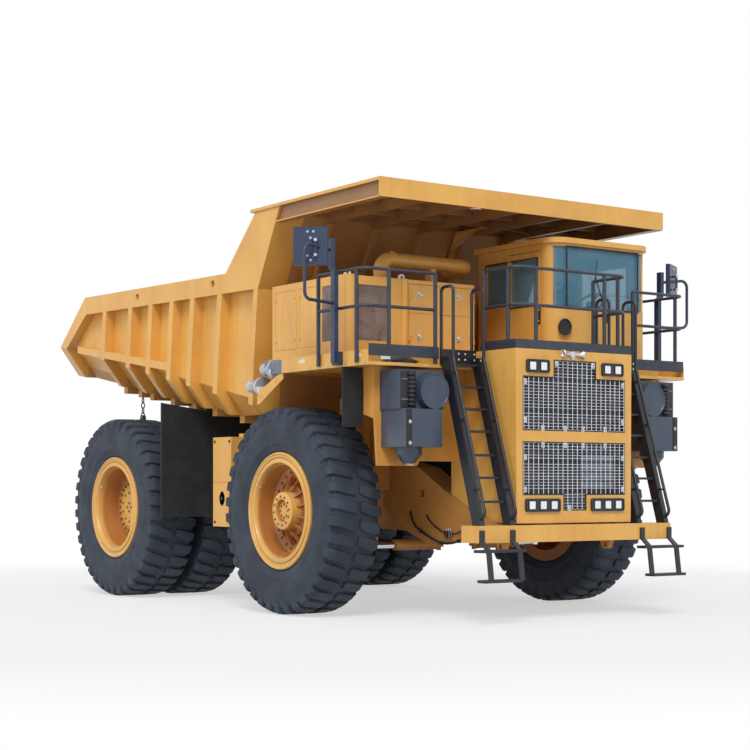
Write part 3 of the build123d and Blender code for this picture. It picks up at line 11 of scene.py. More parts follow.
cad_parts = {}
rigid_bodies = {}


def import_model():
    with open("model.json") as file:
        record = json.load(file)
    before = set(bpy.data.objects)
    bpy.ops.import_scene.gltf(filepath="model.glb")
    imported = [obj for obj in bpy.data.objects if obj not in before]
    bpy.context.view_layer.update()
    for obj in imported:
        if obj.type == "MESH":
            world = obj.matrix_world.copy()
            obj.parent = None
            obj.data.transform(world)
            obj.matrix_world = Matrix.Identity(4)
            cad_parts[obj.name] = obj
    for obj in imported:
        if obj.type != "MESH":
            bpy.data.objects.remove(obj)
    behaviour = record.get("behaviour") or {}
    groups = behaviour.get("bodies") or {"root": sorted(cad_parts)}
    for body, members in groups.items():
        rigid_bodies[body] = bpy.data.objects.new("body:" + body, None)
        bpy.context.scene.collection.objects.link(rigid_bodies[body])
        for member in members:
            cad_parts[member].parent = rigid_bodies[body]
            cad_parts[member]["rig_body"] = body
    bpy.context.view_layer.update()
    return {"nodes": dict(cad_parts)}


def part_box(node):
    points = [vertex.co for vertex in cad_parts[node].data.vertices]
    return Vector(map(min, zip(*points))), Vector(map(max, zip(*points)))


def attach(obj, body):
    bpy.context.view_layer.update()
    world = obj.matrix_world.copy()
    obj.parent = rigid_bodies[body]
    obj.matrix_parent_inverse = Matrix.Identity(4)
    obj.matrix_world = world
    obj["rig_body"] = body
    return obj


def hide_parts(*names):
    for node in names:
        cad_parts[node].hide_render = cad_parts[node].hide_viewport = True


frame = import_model()
nodes = frame["nodes"]


SIDES = (("left", 1), ("right", -1))
AXLE_Y = sum(corner.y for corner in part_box("front_tyre_left")) / 2
RIM_INSET = 0.045  # flange face of a rim, inside the tyre's outer face
FRONT = (0, -1, 0)
UP = (0, 0, 1)
CANOPY_TOP = 5.327
CANOPY_HALF = 2.335
MIRROR_X = 3.0


def spread(first, last, count):
    """Evenly spaced values, both ends included."""
    return [first + (last - first) * i / (count - 1) for i in range(count)]


def circle(count, start=0.0):
    """Cosine and sine of evenly spaced turns."""
    turns = [start + 2 * math.pi * i / count for i in range(count)]
    return [(math.cos(turn), math.sin(turn)) for turn in turns]


def about(middle, half):
    return middle - half, middle + half


def placed(name, data):
    """New object of the scene."""
    obj = bpy.data.objects.new(name, data)
    bpy.context.scene.collection.objects.link(obj)
    return obj


# ---- meshes
class Shape:
    """Vertices and faces of one piece, with Y counted from the front axle unless shift is 0."""

    def __init__(self, shift=AXLE_Y):
        self.verts = []
        self.faces = []
        self.shift = shift

    def add(self, verts, faces):
        start = len(self.verts)
        self.verts.extend(tuple(v) for v in verts)
        self.faces.extend(tuple(start + i for i in face) for face in faces)

    def box(self, x, y, z):
        (x0, x1), (y0, y1), (z0, z1) = (sorted(pair) for pair in (x, y, z))
        verts = [(a, b, c) for a in (x0, x1) for b in (y0, y1) for c in (z0, z1)]
        faces = [(0, 1, 3, 2), (4, 6, 7, 5), (0, 4, 5, 1), (2, 3, 7, 6), (0, 2, 6, 4), (1, 5, 7, 3)]
        self.add(verts, faces)

    def rings(self, verts, rows, closed=False):
        """Skin over rows of vertices, each row a ring; capped at both ends unless it closes on itself."""
        segments = len(verts) // rows
        faces = []
        for row in range(rows if closed else rows - 1):
            below, above = row * segments, ((row + 1) % rows) * segments
            for i in range(segments):
                j = (i + 1) % segments
                faces.append((below + i, below + j, above + j, above + i))
        if not closed:
            faces.append(tuple(reversed(range(segments))))
            faces.append(tuple(range((rows - 1) * segments, rows * segments)))
        self.add(verts, faces)

    def turned(self, origin, axis, profile, segments=24, closed=False):
        """Profile of (distance along the axis, radius) turned round the axis through origin."""
        axis = Vector(axis).normalized()
        across = axis.orthogonal().normalized()
        up = axis.cross(across)
        origin = Vector(origin)
        spokes = [across * c + up * s for c, s in circle(segments)]
        verts = [origin + axis * along + spoke * radius for along, radius in profile for spoke in spokes]
        self.rings(verts, len(profile), closed)

    def slab(self, first, second):
        """Plate between two outlines with as many corners."""
        self.rings([*first, *second], 2)

    def prism_x(self, outline, x0, x1):
        """Flat plate from its outline of (Y, Z), between two X."""
        self.slab(*([(x, y, z) for y, z in outline] for x in (x0, x1)))

    def rod(self, start, end, radius, segments=12):
        start, end = Vector(start), Vector(end)
        self.turned(start, end - start, [(0, radius), ((end - start).length, radius)], segments)

    def bolt(self, at, axis, radius, height):
        """Hexagon head on a washer."""
        self.turned(at, axis, [(0, radius * 1.5), (height * 0.25, radius * 1.5)], 16)
        self.turned(Vector(at) + Vector(axis).normalized() * height * 0.25, axis,
                    [(0, radius), (height * 0.65, radius), (height * 0.75, radius * 0.85)], 6)

    def tube(self, points, radius, segments=10, closed=False):
        """Round tube through a list of points."""
        points = [Vector(p) for p in points]
        count = len(points)
        verts = []
        normal = None
        for i, point in enumerate(points):
            before = points[i - 1] if i or closed else point
            after = points[(i + 1) % count] if i < count - 1 or closed else point
            along = (after - before).normalized()
            if normal is None:
                normal = along.orthogonal().normalized()
            normal = (normal - along * normal.dot(along)).normalized()
            other = along.cross(normal)
            verts += [point + (normal * c + other * s) * radius for c, s in circle(segments)]
        self.rings(verts, count, closed)

    def piece(self, name, material, slot, body="chassis", angle=30, bevel=0.0):
        mesh = bpy.data.meshes.new(name)
        mesh.from_pydata([(x, y + self.shift, z) for x, y, z in self.verts], [], self.faces)
        work = bmesh.new()
        work.from_mesh(mesh)
        bmesh.ops.recalc_face_normals(work, faces=work.faces)
        if bevel:
            sharp = [e for e in work.edges if e.is_manifold and e.calc_face_angle(0) > math.radians(40)]
            bmesh.ops.bevel(work, geom=sharp, offset=bevel, segments=2, affect="EDGES", profile=0.6)
        work.to_mesh(mesh)
        work.free()
        mesh.shade_smooth()
        mesh.set_sharp_from_angle(angle=math.radians(angle))
        obj = placed(name, mesh)
        mesh.materials.append(material)
        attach(obj, body)
        return obj


# ---- materials
def empty_tree(owner):
    """Cleared node tree of a material or a world."""
    owner.use_nodes = True
    owner.node_tree.nodes.clear()
    return owner.node_tree


def node(tree, kind, **settings):
    made = tree.nodes.new(kind)
    for key, value in settings.items():
        if key in made.inputs:
            made.inputs[key].default_value = value
        else:
            setattr(made, key, value)
    return made


def ramp(tree, value, low, high, first=0.0, last=1.0):
    made = node(tree, "ShaderNodeMapRange")
    for key, number in (("From Min", low), ("From Max", high), ("To Min", first), ("To Max", last)):
        made.inputs[key].default_value = number
    tree.links.new(value, made.inputs["Value"])
    return made.outputs["Result"]


def math_node(tree, operation, a, b=0.0):
    made = node(tree, "ShaderNodeMath", operation=operation)
    for i, value in enumerate((a, b)):
        if isinstance(value, (int, float)):
            made.inputs[i].default_value = value
        else:
            tree.links.new(value, made.inputs[i])
    return made.outputs["Value"]


class Surface:
    """Material with one principled shader, its texture running in the object's own coordinates."""

    def __init__(self, name):
        self.material = bpy.data.materials.new(name)
        self.tree = empty_tree(self.material)
        self.shader = self.tree.nodes.new("ShaderNodeBsdfPrincipled")
        output = self.tree.nodes.new("ShaderNodeOutputMaterial")
        self.link(self.shader.outputs["BSDF"], output.inputs["Surface"])
        self.coords = node(self.tree, "ShaderNodeTexCoord").outputs["Object"]

    def link(self, source, target):
        self.tree.links.new(source, target)

    def set(self, **values):
        """Constants on the shader's sockets, with underscores for the spaces in their names."""
        for key, value in values.items():
            self.shader.inputs[key.replace("_", " ")].default_value = value

    def noise(self, scale, detail=4.0, stretch=(1, 1, 1)):
        mapping = node(self.tree, "ShaderNodeMapping", Scale=stretch)
        self.link(self.coords, mapping.inputs["Vector"])
        made = node(self.tree, "ShaderNodeTexNoise", Scale=scale, Detail=detail, Roughness=0.6)
        self.link(mapping.outputs["Vector"], made.inputs["Vector"])
        return made.outputs["Fac"]

    def ramp(self, *numbers):
        return ramp(self.tree, *numbers)

    def clouds(self, low, high, *noise_numbers):
        """Soft patches from 0 to 1; low and high set how sharp their borders are."""
        return self.ramp(self.noise(*noise_numbers), low, high)

    def times(self, a, b):
        return math_node(self.tree, "MULTIPLY", a, b)

    def mix(self, factor, first, second):
        made = node(self.tree, "ShaderNodeMix", data_type="RGBA")
        self.link(factor, made.inputs["Factor"])
        for socket, value in zip([s for s in made.inputs if s.type == "RGBA"], (first, second)):
            if isinstance(value, tuple):
                socket.default_value = (*value, 1.0)
            else:
                self.link(value, socket)
        return [s for s in made.outputs if s.type == "RGBA"][0]

    def place(self, source):
        """X, Y and Z outputs of a vector."""
        made = node(self.tree, "ShaderNodeSeparateXYZ")
        self.link(source, made.inputs["Vector"])
        return made.outputs

    def colour(self, value):
        self.link(value, self.shader.inputs["Base Color"])

    def roughness(self, value, low=0.3, high=0.7, rough=(0.0, 1.0)):
        self.link(self.ramp(value, low, high, *rough), self.shader.inputs["Roughness"])

    def bump(self, height, strength, distance):
        made = node(self.tree, "ShaderNodeBump", Strength=strength, Distance=distance)
        self.link(height, made.inputs["Height"])
        self.link(made.outputs["Normal"], self.shader.inputs["Normal"])


def scaled(colour, factor):
    return tuple(min(1, c * factor) for c in colour)


def painted(name, colour, shade, dust=(0.55, 0.44, 0.31), dust_amount=0.35, rough=(0.32, 0.55), coat=0.25,
            underside_shade=0.55, inside=None, sheltered=None):
    """Weathered paint: cloudy colour, streaks that run down, dust on what faces up, painted shade on what
    faces down.

    inside is (X where the deep colour starts, X where the outer one does, the deep colour), for a rim:
    painted shade and dirt, darker deeper in the rim.
    sheltered is (half width, front Y, top Z, colour): painted shade in that colour within that box, under the
    canopy.
    """
    paint = Surface(name)
    cloud = paint.clouds(0.35, 0.7, 1.3)
    streaks = paint.clouds(0.45, 0.75, 4.0, 6.0, (2.2, 2.2, 0.22))
    base = paint.mix(cloud, colour, shade)
    base = paint.mix(paint.times(streaks, 0.3), base, scaled(colour, 0.62))
    facing = paint.place(node(paint.tree, "ShaderNodeNewGeometry").outputs["Normal"])["Z"]
    upward = paint.ramp(facing, 0.35, 0.95)
    grit = paint.clouds(0.35, 0.65, 9.0, 8.0)
    base = paint.mix(paint.times(paint.times(upward, grit), dust_amount), base, dust)
    # painted shade: faces that point down turn darker
    downward = paint.times(paint.ramp(facing, -0.25, -0.85), underside_shade)
    base = paint.mix(downward, base, tuple(c * f for c, f in zip(shade, (0.42, 0.36, 0.38))))
    # painted shade and dirt: darker and redder deeper inside the rim
    if inside:
        reach = math_node(paint.tree, "ABSOLUTE", paint.place(paint.coords)["X"])
        deep = paint.mix(cloud, inside[2], scaled(inside[2], 0.72))
        base = paint.mix(paint.ramp(reach, inside[0], inside[1]), deep, base)
    # painted shade: a darker colour under the canopy, within the box
    if sheltered:
        half, front, top, shade_colour = sheltered
        at = paint.place(paint.coords)
        within = math_node(paint.tree, "LESS_THAN", math_node(paint.tree, "ABSOLUTE", at["X"]), half)
        within = paint.times(within, math_node(paint.tree, "GREATER_THAN", at["Y"], front))
        within = paint.times(within, math_node(paint.tree, "LESS_THAN", at["Z"], top))
        base = paint.mix(within, base, paint.mix(cloud, shade_colour, scaled(shade_colour, 0.7)))
    paint.colour(base)
    paint.roughness(paint.noise(6.0, 6.0), rough=rough)
    paint.set(Coat_Weight=coat, Coat_Roughness=0.25)
    paint.bump(paint.noise(45.0, 3.0), 0.12, 0.004)
    return paint.material


def rubber(name, colour, dusty, rough=(0.6, 0.85), grain=60.0):
    made = Surface(name)
    made.colour(made.mix(made.clouds(0.38, 0.72, 3.0, 8.0), colour, dusty))
    made.roughness(made.noise(12.0, 5.0), rough=rough)
    made.bump(made.noise(grain, 5.0), 0.25, 0.004)
    return made.material


def metal(name, colour, rough=(0.2, 0.4), metallic=1.0):
    made = Surface(name)
    made.colour(made.mix(made.clouds(0.4, 0.75, 7.0, 6.0), colour, scaled(colour, 0.7)))
    made.set(Metallic=metallic)
    made.roughness(made.noise(20.0, 6.0), rough=rough)
    made.bump(made.noise(80.0, 3.0), 0.08, 0.002)
    return made.material


def glass(name, colour, alpha):
    made = Surface(name)
    smear = made.clouds(0.35, 0.7, 3.0, 5.0, (1, 1, 0.4))
    made.colour(made.mix(smear, colour, scaled(colour, 1.25)))
    made.roughness(smear, 0, 1, (0.03, 0.09))
    made.set(Alpha=alpha, Specular_IOR_Level=0.8)
    return made.material


def fabric(name, colour):
    made = Surface(name)
    weave = node(made.tree, "ShaderNodeTexWave", Scale=140.0, Distortion=1.5)
    made.link(made.coords, weave.inputs["Vector"])
    made.colour(made.mix(made.clouds(0.3, 0.7, 8.0, 5.0), colour, scaled(colour, 1.6)))
    made.set(Roughness=0.9, Sheen_Weight=0.3)
    made.bump(weave.outputs["Fac"], 0.4, 0.002)
    return made.material


BODY_YELLOW = ((0.83, 0.45, 0.1), (0.74, 0.37, 0.075))
RIM_YELLOW = ((0.8, 0.46, 0.11), (0.7, 0.36, 0.075))
MATT = {"rough": (0.5, 0.7), "coat": 0.0}
YELLOW = painted("yellow_paint", *BODY_YELLOW)
YELLOW_BED = painted("yellow_bed", (0.74, 0.38, 0.085), (0.52, 0.29, 0.1), dust_amount=0.75,
                     rough=(0.5, 0.8), coat=0.0)
DARK = painted("dark_paint", (0.016, 0.022, 0.04), (0.03, 0.036, 0.056), dust=(0.16, 0.14, 0.13),
               rough=(0.4, 0.65))
BLUE_GREY = painted("blue_grey_paint", (0.036, 0.054, 0.092), (0.056, 0.074, 0.112), dust=(0.2, 0.18, 0.16))
BLACK = painted("black_paint", (0.012, 0.013, 0.016), (0.025, 0.025, 0.028), dust=(0.1, 0.09, 0.08),
                rough=(0.5, 0.7))
RED_BROWN = painted("red_brown_paint", (0.56, 0.22, 0.13), (0.44, 0.17, 0.11), **MATT)
TYRE = rubber("tyre_rubber", (0.018, 0.026, 0.041), (0.044, 0.059, 0.082))
RUBBER = rubber("flap_rubber", (0.008, 0.01, 0.013), (0.022, 0.024, 0.028))
STEEL = metal("bare_steel", (0.62, 0.63, 0.66))
WIRE = metal("mesh_wire", (0.82, 0.83, 0.87), rough=(0.35, 0.55), metallic=0.15)
CHROME = metal("rod_chrome", (0.75, 0.75, 0.78), rough=(0.08, 0.2))
LADDER = painted("ladder_paint", (0.008, 0.01, 0.017), (0.016, 0.018, 0.026), dust=(0.1, 0.08, 0.07),
                 rough=(0.4, 0.6))
NAVY = painted("navy_paint", (0.01, 0.026, 0.07), (0.016, 0.036, 0.085), dust=(0.12, 0.12, 0.14),
               dust_amount=0.15)
# painted shade and dirt: a darker, browner copy of the body yellow for the frame, braces, axle and struts,
# with stronger painted shade below
FRAME = painted("frame_paint", (0.6, 0.275, 0.058), (0.44, 0.19, 0.048), dust=(0.38, 0.28, 0.18),
                rough=(0.45, 0.7), coat=0.05, underside_shade=0.75)
FENDER = painted("fender_paint", (0.74, 0.35, 0.07), (0.62, 0.27, 0.05))
# painted shade and dirt: the rims turn darker and redder deeper inside
RIM_NODE = painted("wheel_rim_paint", *RIM_YELLOW, rough=(0.35, 0.55),
                   inside=(2.47, 2.535, (0.5, 0.185, 0.04)))
# painted shade: darker colour on the canopy's underside, within the box
CANOPY = painted("canopy_paint", *BODY_YELLOW,
                 sheltered=(CANOPY_HALF, AXLE_Y - 1.925, 5.32, (0.4, 0.185, 0.06)))
# painted shade: the headboard's face under the canopy in a darker copy of the body yellow
HEADBOARD_SHADE = painted("headboard_painted_shade", (0.52, 0.27, 0.08), (0.4, 0.2, 0.065), rough=(0.45, 0.7),
                    coat=0.05)
SILVER = metal("lamp_silver", (0.62, 0.64, 0.68), rough=(0.25, 0.45), metallic=0.5)
GREY = painted("grey_paint", (0.14, 0.17, 0.23), (0.2, 0.23, 0.28), dust=(0.3, 0.28, 0.25))
RADIATOR = painted("radiator_core", (0.045, 0.055, 0.085), (0.075, 0.085, 0.12), dust=(0.12, 0.11, 0.1))
# painted shade: a darker copy of the body yellow for the beams under the canopy
YELLOW_SHADE_UNDER = painted("under_canopy_painted_shade", (0.38, 0.175, 0.058), (0.27, 0.125, 0.045), **MATT)
RIM = painted("rim_paint", *RIM_YELLOW, rough=(0.35, 0.55))
# painted shade and dirt: darker, redder colour for the ribs deep in the front hub
RIM_DEEP = painted("rim_inside_shade_and_dirt", (0.52, 0.2, 0.045), (0.4, 0.15, 0.04), **MATT)
RIM_BOLTS = painted("wheel_bolts", (0.36, 0.13, 0.035), (0.22, 0.09, 0.03), **MATT)
SEAL = rubber("black_seal", (0.01, 0.011, 0.013), (0.028, 0.028, 0.03), rough=(0.4, 0.65), grain=140.0)
BAY_WIRE = metal("bay_wire", (0.45, 0.4, 0.36), rough=(0.4, 0.6), metallic=0.4)
LABEL = painted("blank_label", (0.75, 0.74, 0.7), (0.66, 0.64, 0.6), dust_amount=0.2)
CHAIN = metal("chain_steel", (0.16, 0.17, 0.19), rough=(0.4, 0.65), metallic=0.7)
MIRROR = metal("mirror_silver", (0.85, 0.88, 0.92), rough=(0.02, 0.06))
GLASS = glass("window_glass", (0.07, 0.27, 0.4), 0.42)
LENS = glass("lamp_lens", (0.88, 0.9, 0.95), 0.95)
SEAT = fabric("seat_fabric", (0.03, 0.03, 0.035))
PLASTIC = rubber("black_plastic", (0.02, 0.02, 0.024), (0.045, 0.045, 0.05), rough=(0.4, 0.6), grain=120.0)

NODE_MATERIALS = {
    DARK: ("handrails", "engine_block", "tie_rod"),
    BLUE_GREY: ("air_cleaners",),
    STEEL: ("rock_ejectors",),
    BLACK: ("radiator", "grilles", "headlamps"),
    RED_BROWN: ("grid_blower",),
    GLASS: ("cab_glass", "cab_door_glass"),
    LADDER: ("ladders",),
    NAVY: ("mirrors",),
    FRAME: ("main_frame", "front_braces", "rear_axle", "suspension_struts", "steering_knuckle_left",
            "steering_knuckle_right", "steering_barrel_left", "steering_barrel_right"),
    FENDER: ("fenders",),
    CANOPY: ("body_canopy",),
    HEADBOARD_SHADE: ("body_headboard",),
    YELLOW_BED: ("body_floor",),
    RIM_NODE: ("front_rim_left", "front_rim_right", "rear_rim_left", "rear_rim_right"),
    SEAT: ("seat_cushions",),
    PLASTIC: ("dashboard", "seat_frame"),
    RUBBER: ("mud_flaps", "fender_flaps"),
    TYRE: tuple(n for n in nodes if "tyre" in n),
    CHROME: tuple(n for n in nodes if n.startswith(("hoist_sleeve", "hoist_rod", "steering_rod"))),
}


def paint_nodes():
    chosen = {name: material for material, names in NODE_MATERIALS.items() for name in names}
    for name, obj in nodes.items():
        obj.data.materials.clear()
        obj.data.materials.append(chosen.get(name, YELLOW))


# ---- tyres
TYRE_SEGMENTS = 120
LUGS = 38
TREAD_DEPTH = 0.062
# share of the half width, lean of the lug there, its width as a share of the pitch
LUG_COLUMNS = ((0.1, 0.3, 0.5), (0.3, 0.2, 0.62), (0.55, 0.08, 0.66),
               (0.8, 0.0, 0.6), (0.93, 0.0, 0.56), (0.985, 0.0, 0.5))


def tyre_profile(half_width, outer):
    """(offset from the middle, radius) of the casing under the tread, from one bead to the other."""
    base = outer - TREAD_DEPTH
    # share of the half width, radius; the steps are the moulded rings of the sidewall
    side = [(0.7, 0.632), (0.785, 0.645), (0.795, 0.7), (0.8, 0.757), (0.85, 0.772), (0.862, 0.77),
            (0.905, 0.805), (0.945, 0.856), (0.96, 0.862), (0.962, 0.874), (0.958, 0.882), (0.985, 0.94),
            (0.998, 1.0), (0.998, 1.045), (1.0, 1.05), (1.0, 1.062), (0.994, 1.068), (0.988, 1.12),
            (0.972, 1.165), (0.96, 1.198), (0.945, 1.228),
            (0.88, base - 0.018), (0.6, base - 0.006), (0.0, base)]
    points = [(-half_width * w, r) for w, r in side]
    return points + [(-w, r) for w, r in points[-2::-1]]


def crown(offset, half_width, outer):
    """Radius of the tread's surface at an offset from the middle."""
    share = abs(offset) / half_width
    return outer - 0.006 * share ** 2 - 0.045 * max(0.0, (share - 0.76) / 0.24) ** 2.2


def tyre(name):
    low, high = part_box(name)
    centre = (low + high) / 2
    outer = (high.z - low.z) / 2
    half_width = (high.x - low.x) / 2
    shape = Shape(0)
    profile = tyre_profile(half_width, outer)
    inner = [(w * 0.9, r + 0.03) for w, r in profile[1:-1]]
    shape.turned(centre, (1, 0, 0), profile + inner[::-1], TYRE_SEGMENTS, closed=True)
    pitch = 2 * math.pi / LUGS
    for way in (-1, 1):
        for lug in range(LUGS):
            start = pitch * (lug + (0.5 if way > 0 else 0.0))
            verts = []
            for share, lean, wide in LUG_COLUMNS:
                offset = way * share * half_width
                top = crown(offset, half_width, outer)
                foot = top - TREAD_DEPTH - (0.02 if share < 0.9 else 0.05)
                middle = start + pitch * lean * way
                for radius, grow in ((foot, 1.16), (top - 0.006, 1.0), (top, 0.94)):
                    for turn in about(middle, pitch * wide * grow / 2):
                        spoke = Vector((offset, radius * math.sin(turn), radius * math.cos(turn)))
                        verts.append(centre + spoke)
            faces = [(0, 2, 4, 5, 3, 1), tuple(len(verts) - 6 + i for i in (1, 3, 5, 4, 2, 0))]
            for a in range(0, len(verts) - 6, 6):
                for p, q in ((0, 2), (2, 4), (4, 5), (5, 3), (3, 1)):
                    faces.append((a + p, a + q, a + 6 + q, a + 6 + p))
            shape.add(verts, faces)
    tread = name.replace("tyre", "tread_tyre")
    piece = shape.piece(tread, TYRE, "tyre_rubber", nodes[name]["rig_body"], angle=35)
    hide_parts(name)


# ---- rims
LOCK_RING = ((-0.02, 0.742), (0.004, 0.745), (0.011, 0.738), (0.011, 0.726), (0.004, 0.718), (-0.02, 0.716))
GUTTER_LIP = ((-0.03, 0.668), (0.0, 0.664), (0.008, 0.65), (0.006, 0.618), (-0.012, 0.604),
              (-0.05, 0.598), (-0.058, 0.64))
FRONT_HUB = ((-0.188, 0.2525), (-0.049, 0.2385), (-0.038, 0.217), (-0.038, 0.149), (-0.05, 0.147),
             (-0.1, 0.2))
FRONT_CAP = ((-0.09, 0.12), (-0.083, 0.118), (-0.078, 0.105), (-0.078, 0.0005))
REAR_HUB = ((-0.31, 0.414), (-0.297, 0.416), (-0.291, 0.408), (-0.287, 0.303), (-0.263, 0.292),
            (-0.252, 0.262), (-0.252, 0.0005))
HUB_RIB = ((-0.287, 0.335), (-0.212, 0.318), (-0.2, 0.262), (-0.11, 0.246), (-0.262, 0.455),
           (-0.287, 0.462))
# rings of bolts: depth, radius of the ring, count, radius and height of a bolt, turn of the first one
STUDS = {
    "front": ((-0.285, 0.505, 24, 0.017, 0.03, 0.0), (-0.285, 0.405, 24, 0.017, 0.03, 0.13),
              (-0.038, 0.183, 12, 0.011, 0.014, 0.1), (-0.078, 0.085, 8, 0.011, 0.012, 0.0)),
    "rear": ((-0.29, 0.362, 24, 0.019, 0.028, 0.0), (-0.252, 0.215, 10, 0.013, 0.016, 0.0),
             (-0.252, 0.06, 4, 0.014, 0.016, 0.0)),
}


def rim_details(side, way):
    axis = (way, 0, 0)
    for kind, tyre_node in (("front", "front_tyre"), ("rear", "rear_outer_tyre")):
        low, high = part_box(f"{tyre_node}_{side}")
        centre = (low + high) / 2
        centre.x = way * (max(abs(low.x), abs(high.x)) - RIM_INSET)
        body = nodes[f"{kind}_rim_{side}"]["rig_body"]
        ring = Shape(0)
        ring.turned(centre, axis, LOCK_RING, 96, closed=True)
        ring.turned(centre, axis, GUTTER_LIP, 96, closed=True)
        ring.piece(f"{kind}_lock_ring_{side}", RIM, "yellow_paint", body, angle=40)
        bolts = Shape(0)
        for depth, reach, count, radius, height, start in STUDS[kind]:
            for c, s in circle(count, start):
                bolts.bolt(centre + Vector((way * depth, reach * s, reach * c)), axis, radius, height)
        bolts.piece(f"{kind}_wheel_bolts_{side}", RIM_BOLTS, "yellow_paint", body)
        hub = Shape(0)
        if kind == "front":
            ribs = Shape(0)
            for c, s in circle(12, math.pi / 12):
                flat = [centre + Vector((way * a, s * r, c * r)) for a, r in HUB_RIB]
                thick = Vector((0, c, -s)) * 0.012
                ribs.slab([p - thick for p in flat], [p + thick for p in flat])
            ribs.piece(f"front_hub_ribs_{side}", RIM_DEEP, "yellow_paint", body)
            hub.turned(centre, axis, FRONT_HUB, 64, closed=True)
            hub.turned(centre, axis, FRONT_CAP, 48)
        else:
            hub.turned(centre, axis, REAR_HUB, 64)
        hub.piece(f"{kind}_hub_cover_{side}", RIM, "yellow_paint", body, angle=35)
        valve = Shape(0)
        foot, bend, tip = (centre + Vector((way * a, b, c)) for a, b, c in (
            (-0.05, 0.5, 0.3), (-0.01, 0.535, 0.32), (0.005, 0.545, 0.327)))
        valve.rod(foot, bend, 0.008)
        valve.rod(bend, tip, 0.012)
        valve.piece(f"{kind}_tyre_valve_{side}", STEEL, "steel", body)


# ---- hood front
MESH_EDGE = 0.018  # plain strip round each mesh


def mesh_grilles():
    low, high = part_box("grilles")
    front = low.y
    for name, z0, shoulder, z1, tab in (("upper", 2.31, 2.97, 3.18, 0.35), ("lower", 2.18, 1.53, 1.34, 0.19)):
        shape = Shape(0)
        half = high.x - MESH_EDGE
        bottom, top = min(z0, z1) + MESH_EDGE, max(z0, z1) - MESH_EDGE
        wide_low, wide_high = min(z0, shoulder) + MESH_EDGE, max(z0, shoulder) - MESH_EDGE
        for x in spread(-half, half, 22):
            low_z, high_z = (bottom, top) if abs(x) < tab - MESH_EDGE else (wide_low, wide_high)
            shape.rod((x, front + 0.002, low_z), (x, front + 0.002, high_z), 0.005, 6)
        for z in spread(bottom, top, 23):
            reach = half if wide_low <= z <= wide_high else tab - MESH_EDGE
            shape.rod((-reach, front + 0.01, z), (reach, front + 0.01, z), 0.0034, 6)
        shape.piece(f"{name}_mesh", WIRE, "steel")
    # quarter-turn latches: X and Z
    marks = [(-0.3, 3.13), (0.3, 3.13), (-0.09, 1.375)]
    for outer, row in (((2.9, 2.44), 2.345), ((1.99, 1.6), 2.14)):
        marks += [(x, z) for x in (-0.8, 0.8) for z in outer]
        marks += [(x, row) for x in (-0.52, -0.16, 0.13, 0.5)]
    latches = Shape(0)
    for x, z in marks:
        latches.turned((x, front + 0.002, z), FRONT, [(-0.006, 0.025), (0.004, 0.025), (0.007, 0.02)], 16)
        latches.box(about(x, 0.026), (front - 0.002, front + 0.004), about(z, 0.034))
        latches.box(about(x, 0.006), (front - 0.012, front - 0.004), about(z, 0.018))
    latches.piece("grille_latches", STEEL, "steel", bevel=0.001)
    panel = Shape(0)
    x0, x1, z0, z1 = 0.12, 0.66, 1.62, 2.02
    y = front + 0.03
    panel.box((x0, x1), (y, y + 0.012), (z0, z1))
    for x in spread(x0 + 0.03, x1 - 0.03, 9):
        panel.box(about(x, 0.008), (y - 0.006, y), (z0 + 0.03, z1 - 0.03))
    panel.piece("cooler_panel", GREY, "steel", bevel=0.002)
    fins = Shape(0)
    rad_low, rad_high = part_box("radiator")
    y = rad_low.y
    for x in spread(rad_low.x + 0.06, rad_high.x - 0.06, 54):
        fins.box(about(x, 0.005), (y - 0.012, y + 0.002), (rad_low.z + 0.06, rad_high.z - 0.06))
    for z in spread(rad_low.z + 0.06, rad_high.z - 0.06, 9):
        fins.box((rad_low.x + 0.05, rad_high.x - 0.05), (y - 0.02, y + 0.002), about(z, 0.012))
    fins.piece("radiator_fins", RADIATOR, "dark_paint")


CAN_FRONT = ((0.0, 0.118), (0.0, 0.128), (0.012, 0.13), (0.03, 0.128), (0.05, 0.105), (0.1, 0.085))
CAN_FIN = ((0, 0.08), (0, 0.088), (0.009, 0.088), (0.009, 0.08))
# middle X and Z, number of lamps, half width
LAMP_ROWS = ((-0.61, 3.09, 2, 0.18), (0.61, 3.09, 2, 0.18), (-0.53, 1.41, 3, 0.275), (0.53, 1.41, 3, 0.275))


def rounded_plate(shape, x, z, half_w, half_h, y0, y1, corner, hole=0.0):
    """Plate with round corners, seen from the front; hole is the width of its rim when it is open."""
    def outline(shrink):
        points = []
        r = max(corner - shrink, 0.004)
        for cx, cz, first in ((1, 1, 0), (-1, 1, 90), (-1, -1, 180), (1, -1, 270)):
            for k in range(6):
                turn = math.radians(first + 18 * k)
                points.append((x + cx * (half_w - shrink - r) + r * math.cos(turn),
                               z + cz * (half_h - shrink - r) + r * math.sin(turn)))
        return points
    shells = [(outline(0.0), y0), (outline(0.0), y1)]
    if hole:
        shells += [(outline(hole), y1), (outline(hole), y0)]
    verts = [(a, y, b) for points, y in shells for a, b in points]
    shape.rings(verts, len(shells), closed=bool(hole))


